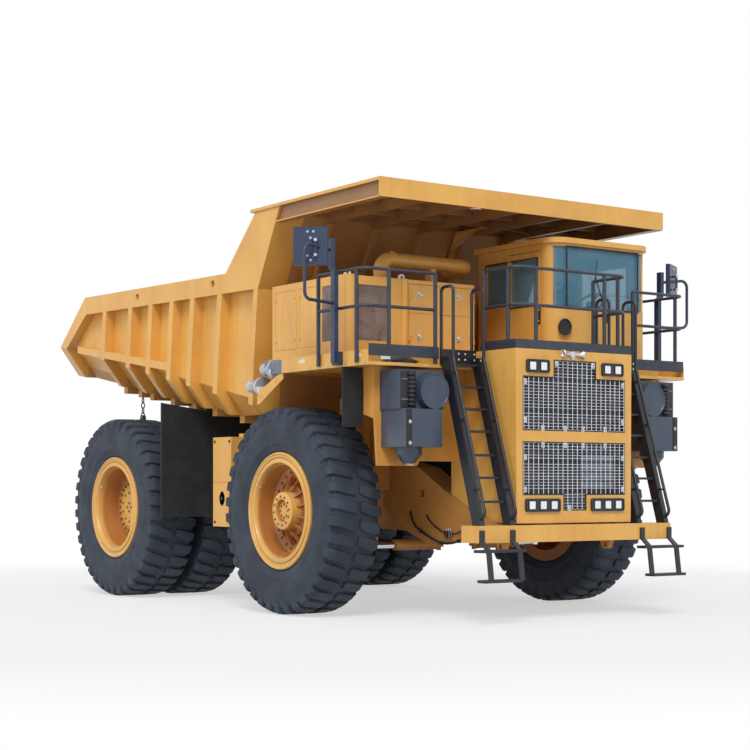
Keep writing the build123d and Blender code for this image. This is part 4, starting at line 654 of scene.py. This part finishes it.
def headlamps():
    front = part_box("headlamps")[0].y
    bezels, lenses, frames = Shape(0), Shape(0), Shape(0)
    for x, z, count, half_w in LAMP_ROWS:
        rounded_plate(bezels, x, z, half_w, 0.08, front + 0.008, front + 0.0295, 0.03)
        rounded_plate(bezels, x, z, half_w, 0.08, front + 0.001, front + 0.01, 0.03, 0.016)
        for i in range(count):
            middle = x + (i - (count - 1) / 2) * 0.175
            rounded_plate(frames, middle, z, 0.056, 0.056, front + 0.0005, front + 0.01, 0.016, 0.008)
            rounded_plate(lenses, middle, z, 0.047, 0.047, front + 0.003, front + 0.009, 0.01)
            for dx in spread(-0.034, 0.034, 5):
                lenses.box(about(middle + dx, 0.004), (front + 0.0015, front + 0.004), about(z, 0.036))
        for sx in (-1, 1):
            for bolt_z in about(z, 0.055):
                frames.bolt((x + sx * (half_w - 0.024), front + 0.01, bolt_z), FRONT, 0.006, 0.006)
    bezel = bezels.piece("lamp_bezels", BLACK, "dark_paint")
    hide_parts("headlamps")
    frames.piece("lamp_frames", BLACK, "dark_paint")
    lenses.piece("lamp_lenses", LENS, "lamp")


def work_lamps():
    """Two work lamps and their bracket behind the right end of the walkway."""
    bracket = Shape()
    x = -2.56
    side = [(-0.1497, 3.07), (-0.1497, 3.0), (0.42, 2.7), (0.48, 2.7), (0.48, 2.85), (-0.06, 3.07)]
    bracket.prism_x(side, x - 0.028, x - 0.012)
    bracket.bolt((x - 0.028, 0.02, 2.985), (-1, 0, 0), 0.012, 0.014)
    bracket.bolt((x - 0.028, 0.38, 2.8), (-1, 0, 0), 0.012, 0.014)
    bracket.piece("work_lamp_bracket", YELLOW, "yellow_paint", bevel=0.002)
    ballast = Shape()
    ballast.box((x - 0.04, x + 0.07), (-0.1497, 0.28), (3.069, 3.245))
    for y in (-0.09, 0.22):
        ballast.box((x - 0.045, x - 0.038), about(y, 0.012), (3.075, 3.24))
    ballast.box((x - 0.044, x - 0.038), (0.02, 0.12), (3.12, 3.19))
    ballast.piece("ballast_box", GREY, "dark_paint", bevel=0.004)
    lamps, cans = Shape(), Shape()
    for y, z, length in ((0.13, 3.133, 0.3), (0.432, 2.93, 0.34)):
        at, along = (x + 0.04, y, z), (0, length, 0.02)
        reach = Vector(along).length
        can = [*CAN_FRONT, (reach - 0.03, 0.08), (reach - 0.008, 0.066), (reach, 0.02)]
        cans.turned(at, along, can, 36)
        for depth in spread(0.11, 0.23, 6):
            cans.turned(Vector(at) + Vector(along).normalized() * depth, along, CAN_FIN, 36, closed=True)
        lamps.turned(at, FRONT, [(-0.004, 0.114), (0.0, 0.112), (0.0, 0.0005)], 36)
    cans.piece("work_lamp_cans", SILVER, "steel")
    lamps.piece("work_lamp_glass", LENS, "lamp")


def air_horn():
    horn = Shape()
    for side, reach in ((-1, 0.16), (1, 0.13)):
        trumpet = [(0.0, 0.03), (0.03, 0.02), (reach * 0.55, 0.024), (reach * 0.85, 0.036), (reach, 0.055),
                   (reach + 0.006, 0.05), (reach * 0.8, 0.02)]
        horn.turned((-0.05 + side * 0.02, -2.775, 3.255), (side, -0.12, 0.0), trumpet, 24)
    driver = [(-0.045, 0.035), (-0.035, 0.045), (0.03, 0.045), (0.04, 0.03)]
    horn.turned((-0.05, -2.765, 3.255), UP, driver, 24)
    horn.box((-0.075, -0.025), (-2.79, -2.755), (3.19, 3.225))
    horn.piece("horn", STEEL, "steel")


# ---- cab, cabinets, decks
def loop(shape, wall, plane, start, end, z0, z1, width, thick):
    """Rectangular seal round an opening; wall is the axis that the wall faces along."""
    across, whole = about(plane, thick), (z0 - width, z1 + width)
    bars = [((start - width, start), whole), ((end, end + width), whole),
            ((start, end), (z0 - width, z0)), ((start, end), (z1, z1 + width))]
    for along, rise in bars:
        shape.box(*((across, along) if wall == "x" else (along, across)), rise)


def cab_trim():
    seals = Shape()
    loop(seals, "y", -1.803, 0.735, 1.98, 3.985, 4.75, 0.022, 0.005)
    loop(seals, "x", 0.497, -0.863, -0.429, 4.06, 4.62, 0.02, 0.005)
    loop(seals, "x", 2.218, -1.4, -0.45, 3.985, 4.64, 0.02, 0.005)
    loop(seals, "y", -0.247, 0.9, 1.85, 4.05, 4.6, 0.02, 0.005)
    seals.piece("window_seals", SEAL, "black_plastic", bevel=0.002)
    door_seal = Shape()
    loop(door_seal, "x", 0.497, -1.475, -0.936, 4.02, 4.62, 0.018, 0.005)
    door_seal.piece("door_window_seal", SEAL, "black_plastic", "cab_door", bevel=0.002)
    handle = Shape()
    handle.tube([(0.497, -1.515, 3.795), (0.458, -1.515, 3.8), (0.452, -1.515, 3.83), (0.452, -1.515, 3.91),
                 (0.458, -1.515, 3.94), (0.497, -1.515, 3.945)], 0.011, 12)
    handle.box((0.488, 0.499), (-1.545, -1.485), (3.76, 3.975))
    handle.turned((0.488, -1.515, 3.99), (-1, 0, 0), [(0, 0.014), (0.008, 0.014), (0.01, 0.01)], 16)
    handle.piece("cab_door_handle", SEAL, "dark_paint", "cab_door", bevel=0.0015)
    wiper = Shape()
    wiper.turned((1.41, -1.8, 3.88), FRONT, [(0, 0.035), (0.03, 0.035), (0.04, 0.022)], 20)
    wiper.rod((1.41, -1.83, 3.88), (1.2, -1.825, 4.4), 0.008)
    wiper.rod((1.17, -1.818, 4.12), (1.24, -1.818, 4.62), 0.006)
    wiper.box((1.35, 1.47), (-1.812, -1.8), (3.8, 3.87))
    wiper.piece("wiper", SEAL, "dark_paint")
    lamp = Shape()
    profile = [(0, 0.085), (0.02, 0.092), (0.035, 0.108), (0.05, 0.11), (0.05, 0.096), (0.038, 0.088),
               (0.036, 0.0005)]
    lamp.turned((0.66, -1.8, 3.704), FRONT, profile, 36)
    lamp.piece("cab_front_lamp", SEAL, "dark_paint")
    roof = Shape()
    for x in (0.82, 1.9):
        for y in (-1.5, -0.55):
            roof.turned((x, y, 4.868), UP, [(0, 0.05), (0.006, 0.05), (0.012, 0.02)], 16)
    for x in (0.75, 1.95):
        arch = ((-0.07, 4.865), (-0.05, 4.93), (0, 4.955), (0.05, 4.93), (0.07, 4.865))
        roof.tube([(x + dx, -1.0, z) for dx, z in arch], 0.012, 10)
    roof.piece("cab_roof_eyes", YELLOW, "yellow_paint")
    seams = Shape()
    for z in (3.33, 3.955):
        seams.box((0.72, 2.0), (-1.8015, -1.799), about(z, 0.003))
    seams.piece("cab_seams", SEAL, "dark_paint")


def cabinet_details():
    for body, x in (("cabinet_door_1", -1.159), ("cabinet_door_2", -0.525)):
        shape = Shape()
        for z in (4.065, 3.53):
            shape.box(about(x, 0.022), (-1.118, -1.109), about(z, 0.04))
            shape.turned((x, -1.118, z + 0.012), FRONT, [(0, 0.016), (0.01, 0.016), (0.014, 0.011)], 16)
            shape.box((x + 0.035, x + 0.06), (-1.115, -1.109), (z - 0.012, z + 0.016))
            shape.rod((x, -1.124, z - 0.03), (x, -1.124, z + 0.006), 0.006, 10)
        shape.piece(f"{body}_latches", STEEL, "steel", body, bevel=0.0015)
    bay = Shape()
    # point of a net from its place along and its depth; first place, length, number of uprights
    nets = ((lambda along, depth, z: (along, -1.106 + depth, z), -2.105, 0.455, 26),
            (lambda along, depth, z: (-2.297 + depth, along, z), -0.865, 0.25, 15))
    for at, first, length, uprights in nets:
        for along in spread(first, first + length, uprights):
            bay.rod(at(along, 0, 3.46), at(along, 0, 4.13), 0.0028, 5)
        for z in spread(3.46, 4.13, 38):
            bay.rod(at(first, 0.004, z), at(first + length, 0.004, z), 0.0024, 5)
    bay.piece("bay_mesh", BAY_WIRE, "steel")
    rings = Shape()
    x, y, z = -1.8975, -1.0, 3.765
    for ring in (0.262, 0.225, 0.19, 0.165):
        profile = [(0, ring), (0.008, ring - 0.003), (0.008, ring - 0.01), (0, ring - 0.013)]
        rings.turned((x, y, z), FRONT, profile, 48, closed=True)
    for c, s in circle(12):
        rings.bolt((x + 0.245 * c, y, z + 0.245 * s), FRONT, 0.008, 0.012)
    rings.piece("blower_rings", RED_BROWN, "blower_red")
    edges = Shape()
    profile = [(0, 0.044), (0.006, 0.046), (0.022, 0.046), (0.028, 0.044), (0.028, 0.024), (0.0, 0.024)]
    for x in (-2.215, -1.388):
        edges.turned((x, -1.035, 4.275), FRONT, profile, 28, closed=True)
    edges.piece("lifting_eye_bosses", WIRE, "steel")
    hatch = Shape()
    x = -2.302
    for y0, y1 in ((-0.57, -0.06), (-0.02, 0.52)):
        loop(hatch, "x", x + 0.001, y0 + 0.02, y1 - 0.02, 3.42, 4.16, 0.012, 0.004)
        for y in (y0 + 0.05, y1 - 0.05):
            for z in (3.52, 4.06):
                hatch.bolt((x, y, z), (-1, 0, 0), 0.01, 0.012)
    hatch.piece("side_hatch_frames", YELLOW, "yellow_paint")


def deck_details():
    bolts = Shape()
    for side in (-1, 1):
        for y in (-2.0, -1.6, -1.2, -0.8, -0.4):
            bolts.bolt((side * 2.61, y, 3.1), (side, 0, 0), 0.012, 0.012)
        for y in spread(-0.12, 0.52, 9):
            bolts.bolt((side * 2.34, y, 3.2), (side, 0, 0), 0.01, 0.01)
        for x in (1.08, 1.46, 1.75, 2.15, 2.5):
            bolts.bolt((side * x, -2.05, 3.09), FRONT, 0.01, 0.01)
    bolts.piece("deck_bolts", STEEL, "steel")
    tops = Shape()
    for side in (-1, 1):
        for x in (1.1, 1.2, 1.34, 1.44):
            for z in (3.16, 3.23):
                tops.turned((side * x, -2.285, z), FRONT, [(0, 0.012), (0.008, 0.012), (0.011, 0.008)], 12)
    tops.piece("ladder_bolts", STEEL, "steel")
    grip = Shape()
    for side in (-1, 1):
        for i in range(11):
            for k in range(8):
                x = 1.05 + 0.13 * i + 0.065 * (k % 2)
                y = -2.02 + 0.062 * k
                if x > 2.5 or y > -1.9 and x > 2.3:
                    continue
                grip.box(about(side * x, 0.02), about(y, 0.006), (3.11, 3.113))
    grip.piece("walkway_grip", DARK, "dark_paint")
    plates = Shape()
    for y in (-1.84, -1.35, -0.62):
        plates.box((-2.611, -2.608), about(y, 0.07), (3.1675, 3.2125))
    plates.box((-2.42, -2.28), (-2.053, -2.05), (3.142, 3.18))
    plates.piece("blank_plates", LABEL, "steel", bevel=0.0006)


def mirror_details():
    plate = Shape()
    for side, turn in ((1, 31), (-1, -40)):
        middle = Vector((side * MIRROR_X, -1.43, 4.495))
        spin = Matrix.Rotation(math.radians(turn), 3, "Z")
        for way in (-1, 1):
            for sx, sz in ((-1, -0.7), (-1, 1), (1, -0.7), (1, 1), (0, 0.55), (0, -1)):
                at = middle + spin @ Vector((sx * 0.035, way * 0.0302, sz * 0.17))
                plate.bolt(at, spin @ Vector((0, way, 0)), 0.01, 0.01)
        corners = [middle + spin @ Vector((sx * 0.185, 0.0312, sz * 0.175))
                   for sx, sz in ((-1, -1), (1, -1), (1, 1), (-1, 1))]
        mirror = Shape()
        mirror.slab(corners, [c - spin @ Vector((0, 0.002, 0)) for c in corners])
        mirror.piece(f"mirror_glass_{'left' if side > 0 else 'right'}", MIRROR, "glass")
        for z in (4.38, 4.56):
            plate.turned((side * MIRROR_X, -1.53, z - 0.016), UP, [(0, 0.022), (0.032, 0.022)], 16)
    plate.piece("mirror_bolts", STEEL, "steel")


def air_cleaner_details():
    for side, way in SIDES:
        shape = Shape()
        # rolled rim of the can and its band clamp
        for y, profile in ((-2.292, [(0, 0.205), (0.006, 0.212), (0.006, 0.196), (0.0, 0.19)]),
                           (-2.21, [(0, 0.216), (0, 0.222), (0.022, 0.222), (0.022, 0.216)])):
            shape.turned((way * 1.8, y, 2.77), FRONT, profile, 48, closed=True)
        shape.piece(f"air_cleaner_trim_{side}", BLUE_GREY, "dark_paint")
        bolts = Shape()
        for z in (2.15, 2.4):
            bolts.bolt((way * 2.18, -2.308, z), FRONT, 0.015, 0.014)
        bolts.box((way * 1.985, way * 2.045), (-2.115, -2.05), (1.885, 1.905))
        bolts.turned((way * 2.01, -2.05, 1.9), UP, [(0, 0.03), (0.012, 0.03)], 20)
        bolts.piece(f"air_cleaner_bolts_{side}", STEEL, "steel")
        dark = Shape()
        # painted shade: a dark plate in the recess beside the can, behind its bellows, and a dark strip down
        # the gap at the joint of the lower box
        dark.box((way * 2.02, way * 2.238), (-2.206, -2.198), (2.565, 3.005))
        fold = [(0, 0.034), (0.018, 0.052), (0.034, 0.052), (0.052, 0.034)]
        for z in spread(2.58, 2.944, 8):
            dark.turned((way * 2.09, -2.215, z), UP, fold, 20)
        dark.box((way * 2.15, way * 2.225), (-2.308, -2.298), (2.112, 2.548))
        dark.piece(f"air_cleaner_bellows_and_shade_{side}", SEAL, "black_plastic", bevel=0.001)
        frame_lines = Shape()
        for z in (2.66, 2.9):
            frame_lines.box((way * 2.03, way * 2.23), (-2.212, -2.204), (z, z + 0.012))
        frame_lines.piece(f"air_cleaner_clamps_{side}", GREY, "dark_paint", bevel=0.001)


# ---- body
def canopy_details():
    shape = Shape()
    under = CANOPY_TOP - 0.04
    for y in (-1.35, -0.75, -0.15, 0.4):
        shape.box((-2.24, 2.24), about(y, 0.022), (under - 0.085, under + 0.002))
    for x in (-1.88, -1.13, -0.38, 0.38, 1.13, 1.88):
        shape.box(about(x, 0.012), (-1.89, 0.55), (under - 0.055, under + 0.002))
    # beams under the canopy take the painted shade
    shape.piece("canopy_beams", YELLOW_SHADE_UNDER, "yellow_paint", "dump_body", bevel=0.003)
    gussets = Shape()
    for x in (0.66, 1.59):
        curve = [(-0.2 + 0.82 * c, 4.74 + 0.45 * s) for c, s in circle(40)[:11]]
        gussets.prism_x(curve + [(-0.2, 5.205), (0.395, 5.205), (0.64, 4.746)], x - 0.06, x + 0.06)
    gussets.piece("canopy_gussets", YELLOW, "yellow_paint", "dump_body", bevel=0.004)
    lamp = Shape()
    profile = [(0, 0.07), (0.02, 0.085), (0.05, 0.09), (0.07, 0.08), (0.07, 0.0005)]
    lamp.turned((-0.52, -1.45, under - 0.06), (0, 0, -1), profile, 28)
    lamp.box((-0.6, -0.44), (-1.53, -1.37), (under - 0.065, under))
    lamp.piece("canopy_lamp", STEEL, "lamp", "dump_body")
    lip = Shape()
    lip.box((-CANOPY_HALF, CANOPY_HALF), (-1.9275, -1.905), (5.09, 5.106))
    lip.box((-CANOPY_HALF, CANOPY_HALF), (-1.9275, -1.9), (CANOPY_TOP - 0.009, CANOPY_TOP - 0.0001))
    lip.piece("canopy_lip", YELLOW, "yellow_paint", "dump_body", bevel=0.002)


EJECTOR_AT = (1.83, 5.15)  # X and Y of each rock ejector, between the twin tyres
EJECTOR_HEAD = 2.7
EJECTOR_FOOT = 2.0
LINKS = 4


def chains():
    """Chain links over each rock ejector's bar, with an eye at both ends of the bar."""
    shape = Shape()
    middle, y = EJECTOR_AT
    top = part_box("rock_ejectors")[1].z - 0.01
    pitch = (top - EJECTOR_HEAD) / LINKS
    for side in (-1, 1):
        for i in range(LINKS):
            z = top - pitch * (i + 0.5)
            points = []
            for c, s in circle(16):
                across = (0.027 * c, 0) if i % 2 else (0, 0.027 * c)
                points.append((side * middle + across[0], y + across[1], z + (pitch * 0.5 + 0.004) * s))
            shape.tube(points, 0.0095, 8, closed=True)
        shape.box((side * 1.8, side * 1.86), (5.105, 5.195), (EJECTOR_FOOT, EJECTOR_HEAD))
        for z, radius in ((EJECTOR_HEAD, 0.045), (EJECTOR_FOOT, 0.04)):
            shape.turned((side * 1.8, y, z), (side, 0, 0), [(0, radius), (0.06, radius)], 24)
    made = shape.piece("rock_chains", CHAIN, "steel", "dump_body", bevel=0.002)
    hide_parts("rock_ejectors")


def tank_details():
    shape = Shape()
    for way in (-1, 1):
        x = way * 2.2
        for rise, radius in ((-0.045, 0.055), (-0.015, 0.072), (0.015, 0.072), (0.045, 0.055)):
            shape.turned((x, 2.06, 1.47 + rise), (way, 0, 0), [(0, radius), (0.003, radius)], 24)
        # painted shade: a dark cap fills the hole in the middle of the fitting
        shape.turned((x, 2.06, 1.47), (way, 0, 0), [(0, 0.03), (0.01, 0.028), (0.012, 0.0005)], 12)
        for y in (1.86, 2.26):
            for z in (1.14, 2.26):
                shape.bolt((x, y, z), (way, 0, 0), 0.014, 0.014)
    shape.piece("tank_fittings", SEAL, "dark_paint")
    welds = Shape()
    for way in (-1, 1):
        for start, end in (((0.96, 1.809), (2.19, 1.809)), ((2.2005, 1.82), (2.2005, 2.3))):
            welds.tube([(way * x, y, 1.7) for x, y in (start, end)], 0.005, 8)
    welds.piece("tank_welds", YELLOW, "yellow_paint")


# pipes on the braces, Y and Z of their middle stretches; their ends bend into the brace
LOW_PIPE = ((-0.724, 1.262), (-0.765, 1.185), (-0.83, 1.118), (-0.94, 1.062), (-1.05, 1.018),
            (-1.153, 0.98), (-1.26, 0.945), (-1.362, 0.923), (-1.49, 0.918), (-1.609, 0.93),
            (-1.72, 0.955), (-1.83, 0.99))
REAR_PIPE = ((-1.3, 1.1), (-1.2, 1.15))
FRONT_PIPE = ((-1.79, 1.085),)


def brace_pipes():
    """Valve block and steel pipes on the outside of the front braces."""
    valve, pipes = Shape(), Shape()
    cap = [(0, 0.016), (0.012, 0.016), (0.018, 0.011), (0.034, 0.01)]
    # start, middle stretch, end, radius
    lines = (([(0.965, -0.69, 1.33), (0.99, -0.705, 1.3)], LOW_PIPE,
              [(0.995, -1.93, 1.02), (0.965, -1.99, 1.04)], 0.014),
             ([(1.0, -1.47, 1.05), (1.0, -1.4, 1.062)], REAR_PIPE,
              [(0.996, -1.12, 1.2), (0.992, -1.06, 1.255), (0.965, -1.03, 1.29)], 0.01),
             ([(1.0, -1.59, 1.04), (1.0, -1.68, 1.05)], FRONT_PIPE,
              [(0.994, -1.88, 1.11), (0.965, -1.93, 1.12)], 0.01))
    for way in (-1, 1):
        valve.box((way * 0.978, way * 1.03), (-1.6, -1.46), (0.985, 1.08))
        for y in (-1.57, -1.53, -1.49):
            valve.turned((way * 1.005, y, 1.08), UP, cap, 12)
        valve.box((way * 1.03, way * 1.036), (-1.57, -1.49), (1.0, 1.065))
        for start, stretch, end, radius in lines:
            points = [*start, *((0.998, y, z) for y, z in stretch), *end]
            pipes.tube([(way * x, y, z) for x, y, z in points], radius, 10)
        for y, z in ((-0.94, 1.062), (-1.362, 0.923), (-1.72, 0.955)):
            pipes.box((way * 0.978, way * 1.015), about(y, 0.012), about(z, 0.022))
    valve.piece("valve_block", STEEL, "steel", bevel=0.002)
    pipes.piece("brake_pipes", SEAL, "black_plastic")


# ---- seat
VOXEL = 0.006
PAD_INSET = 0.016  # how much smaller the pad starts than the plain cushion
PAD_CORNER = 0.028  # rounding of a pad before it is inflated
PRESSURE = 4.0
CLOTH_FRAMES = 20
CAP = 0.024  # how far the cloth may swell from the pad
DENT = (0.01, 0.008)  # depth and width of a sewn channel
OVER_BOX = 0.004  # how far a pad may stand past the plain cushion


def evaluated(obj):
    graph = bpy.context.evaluated_depsgraph_get()
    return bpy.data.meshes.new_from_object(obj.evaluated_get(graph))


def cushion(name, low, high, channels, along):
    """Crowned pad: inflated as cloth, then sewn channels pressed in across the axis along."""
    shape = Shape(0)
    shape.box(*((low[k] + PAD_INSET, high[k] - PAD_INSET) for k in range(3)))
    pad = shape.piece(name, SEAT, "seat_fabric", bevel=PAD_CORNER)
    scene = bpy.context.scene
    remesh = pad.modifiers.new("remesh", "REMESH")
    remesh.mode = "VOXEL"
    remesh.voxel_size = VOXEL
    pad.data = evaluated(pad)
    pad.modifiers.clear()
    rest = [v.co.copy() for v in pad.data.vertices]
    cloth = pad.modifiers.new("cloth", "CLOTH")
    cloth.settings.use_pressure = True
    cloth.settings.uniform_pressure_force = PRESSURE
    cloth.settings.effector_weights.gravity = 0.0
    for number in range(1, CLOTH_FRAMES + 1):
        scene.frame_set(number)
    swollen = evaluated(pad)
    places = [v.co.copy() for v in swollen.vertices]
    pad.modifiers.clear()
    scene.frame_set(1)
    for vertex, start, end in zip(pad.data.vertices, rest, places):
        move = end - start
        if move.length > CAP:
            move = move.normalized() * CAP
        vertex.co = start + move
    centre = (low + high) / 2
    for vertex in pad.data.vertices:
        for at in channels:
            gap = vertex.co[along] - centre[along] - at
            dent = DENT[0] * math.exp(-(gap / DENT[1]) ** 2)
            if along == 0:
                vertex.co.z -= dent if vertex.co.z > centre.z else 0.0
            else:
                vertex.co.y += dent if vertex.co.y < centre.y else 0.0
        for k in range(3):
            vertex.co[k] = min(max(vertex.co[k], low[k] - OVER_BOX), high[k] + OVER_BOX)
    pad.data.shade_smooth()
    smooth = pad.modifiers.new("smooth", "SUBSURF")
    smooth.levels = 1
    smooth.render_levels = 1
    pad.data.materials.clear()
    pad.data.materials.append(SEAT)
    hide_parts("seat_cushions")


def seat():
    low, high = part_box("seat_cushions")
    split = low.z + 0.13
    cushion("seat_pad", low.copy(), Vector((high.x, low.y + 0.44, split)), (-0.085, 0.085), 0)
    cushion("seat_back_pad", Vector((low.x, high.y - 0.12, split)), high.copy(), (-0.14, 0.0, 0.14), 2)


# ---- stage, lamps and camera
FLOOR_HALF = 60.0
FLOOR_SHARE = 0.55  # least share of plain white in the floor that the camera sees
FADE = (5.0, 13.0)  # distances between which the floor turns wholly white
# name, strength, angular size in degrees, direction
SUNS = (("key", 1.75, 22, (0.62, 0.8, -1.0)), ("side", 0.35, 60, (1.0, -0.1, -0.5)))


def seen_by(tree, *kinds):
    """1 for rays of these kinds, 0 for the others."""
    path = node(tree, "ShaderNodeLightPath")
    seen = path.outputs[kinds[0]]
    for kind in kinds[1:]:
        seen = math_node(tree, "MAXIMUM", seen, path.outputs[kind])
    return seen


def coloured(tree, kind, colour, **settings):
    made = node(tree, kind, **settings)
    made.inputs["Color"].default_value = (*colour, 1)
    return made.outputs[0]


def blended(tree, factor, first, second, output_kind):
    blend = node(tree, "ShaderNodeMixShader")
    tree.links.new(factor, blend.inputs["Fac"])
    tree.links.new(first, blend.inputs[1])
    tree.links.new(second, blend.inputs[2])
    tree.links.new(blend.outputs["Shader"], node(tree, output_kind).inputs["Surface"])


def stage():
    scene = bpy.context.scene
    scene.view_settings.view_transform = "Standard"
    mesh = bpy.data.meshes.new("floor")
    corners = [(x * FLOOR_HALF, y * FLOOR_HALF, 0) for x, y in ((-1, -1), (1, -1), (1, 1), (-1, 1))]
    mesh.from_pydata(corners, [], [(0, 1, 2, 3)])
    floor = placed("floor", mesh)
    material = bpy.data.materials.new("floor")
    tree = empty_tree(material)
    plain = coloured(tree, "ShaderNodeBsdfDiffuse", (0.86, 0.86, 0.87))
    white = coloured(tree, "ShaderNodeEmission", (1, 1, 1), Strength=1.0)
    distance = node(tree, "ShaderNodeVectorMath", operation="LENGTH")
    tree.links.new(node(tree, "ShaderNodeTexCoord").outputs["Object"], distance.inputs[0])
    share = math_node(tree, "MAXIMUM", ramp(tree, distance.outputs["Value"], *FADE), FLOOR_SHARE)
    seen = seen_by(tree, "Is Camera Ray", "Is Glossy Ray")
    blended(tree, math_node(tree, "MULTIPLY", seen, share), plain, white, "ShaderNodeOutputMaterial")
    mesh.materials.append(material)

    scene.world = bpy.data.worlds.new("studio")
    tree = empty_tree(scene.world)
    soft = coloured(tree, "ShaderNodeBackground", (0.93, 0.96, 1.0), Strength=0.5)
    bright = coloured(tree, "ShaderNodeBackground", (1, 1, 1), Strength=1.0)
    seen = seen_by(tree, "Is Camera Ray", "Is Glossy Ray", "Is Transmission Ray")
    blended(tree, seen, soft, bright, "ShaderNodeOutputWorld")

    for name, strength, angle, direction in SUNS:
        lamp = bpy.data.lights.new(name, "SUN")
        lamp.energy = strength
        lamp.angle = math.radians(angle)
        placed(name, lamp).rotation_euler = Vector(direction).to_track_quat("-Z", "Y").to_euler()


CAMERA_AT = (-13.815, -20.195, 1.633)
CAMERA_TURN = -35.195
CAMERA_LENS = 80.1
CAMERA_SHIFT = 0.149


def camera():
    data = bpy.data.cameras.new("camera")
    data.lens = CAMERA_LENS
    data.sensor_width = 36
    data.shift_y = CAMERA_SHIFT
    data.clip_end = 200
    obj = placed("camera", data)
    obj.location = CAMERA_AT
    obj.rotation_euler = (math.radians(90), 0, math.radians(CAMERA_TURN))
    bpy.context.scene.camera = obj


paint_nodes()
for tyre_name in sorted(n for n in nodes if "tyre" in n):
    tyre(tyre_name)
for side_name, side_way in SIDES:
    rim_details(side_name, side_way)
mesh_grilles()
headlamps()
work_lamps()
air_horn()
cab_trim()
cabinet_details()
deck_details()
mirror_details()
air_cleaner_details()
canopy_details()
chains()
tank_details()
brace_pipes()
seat()
stage()
camera()
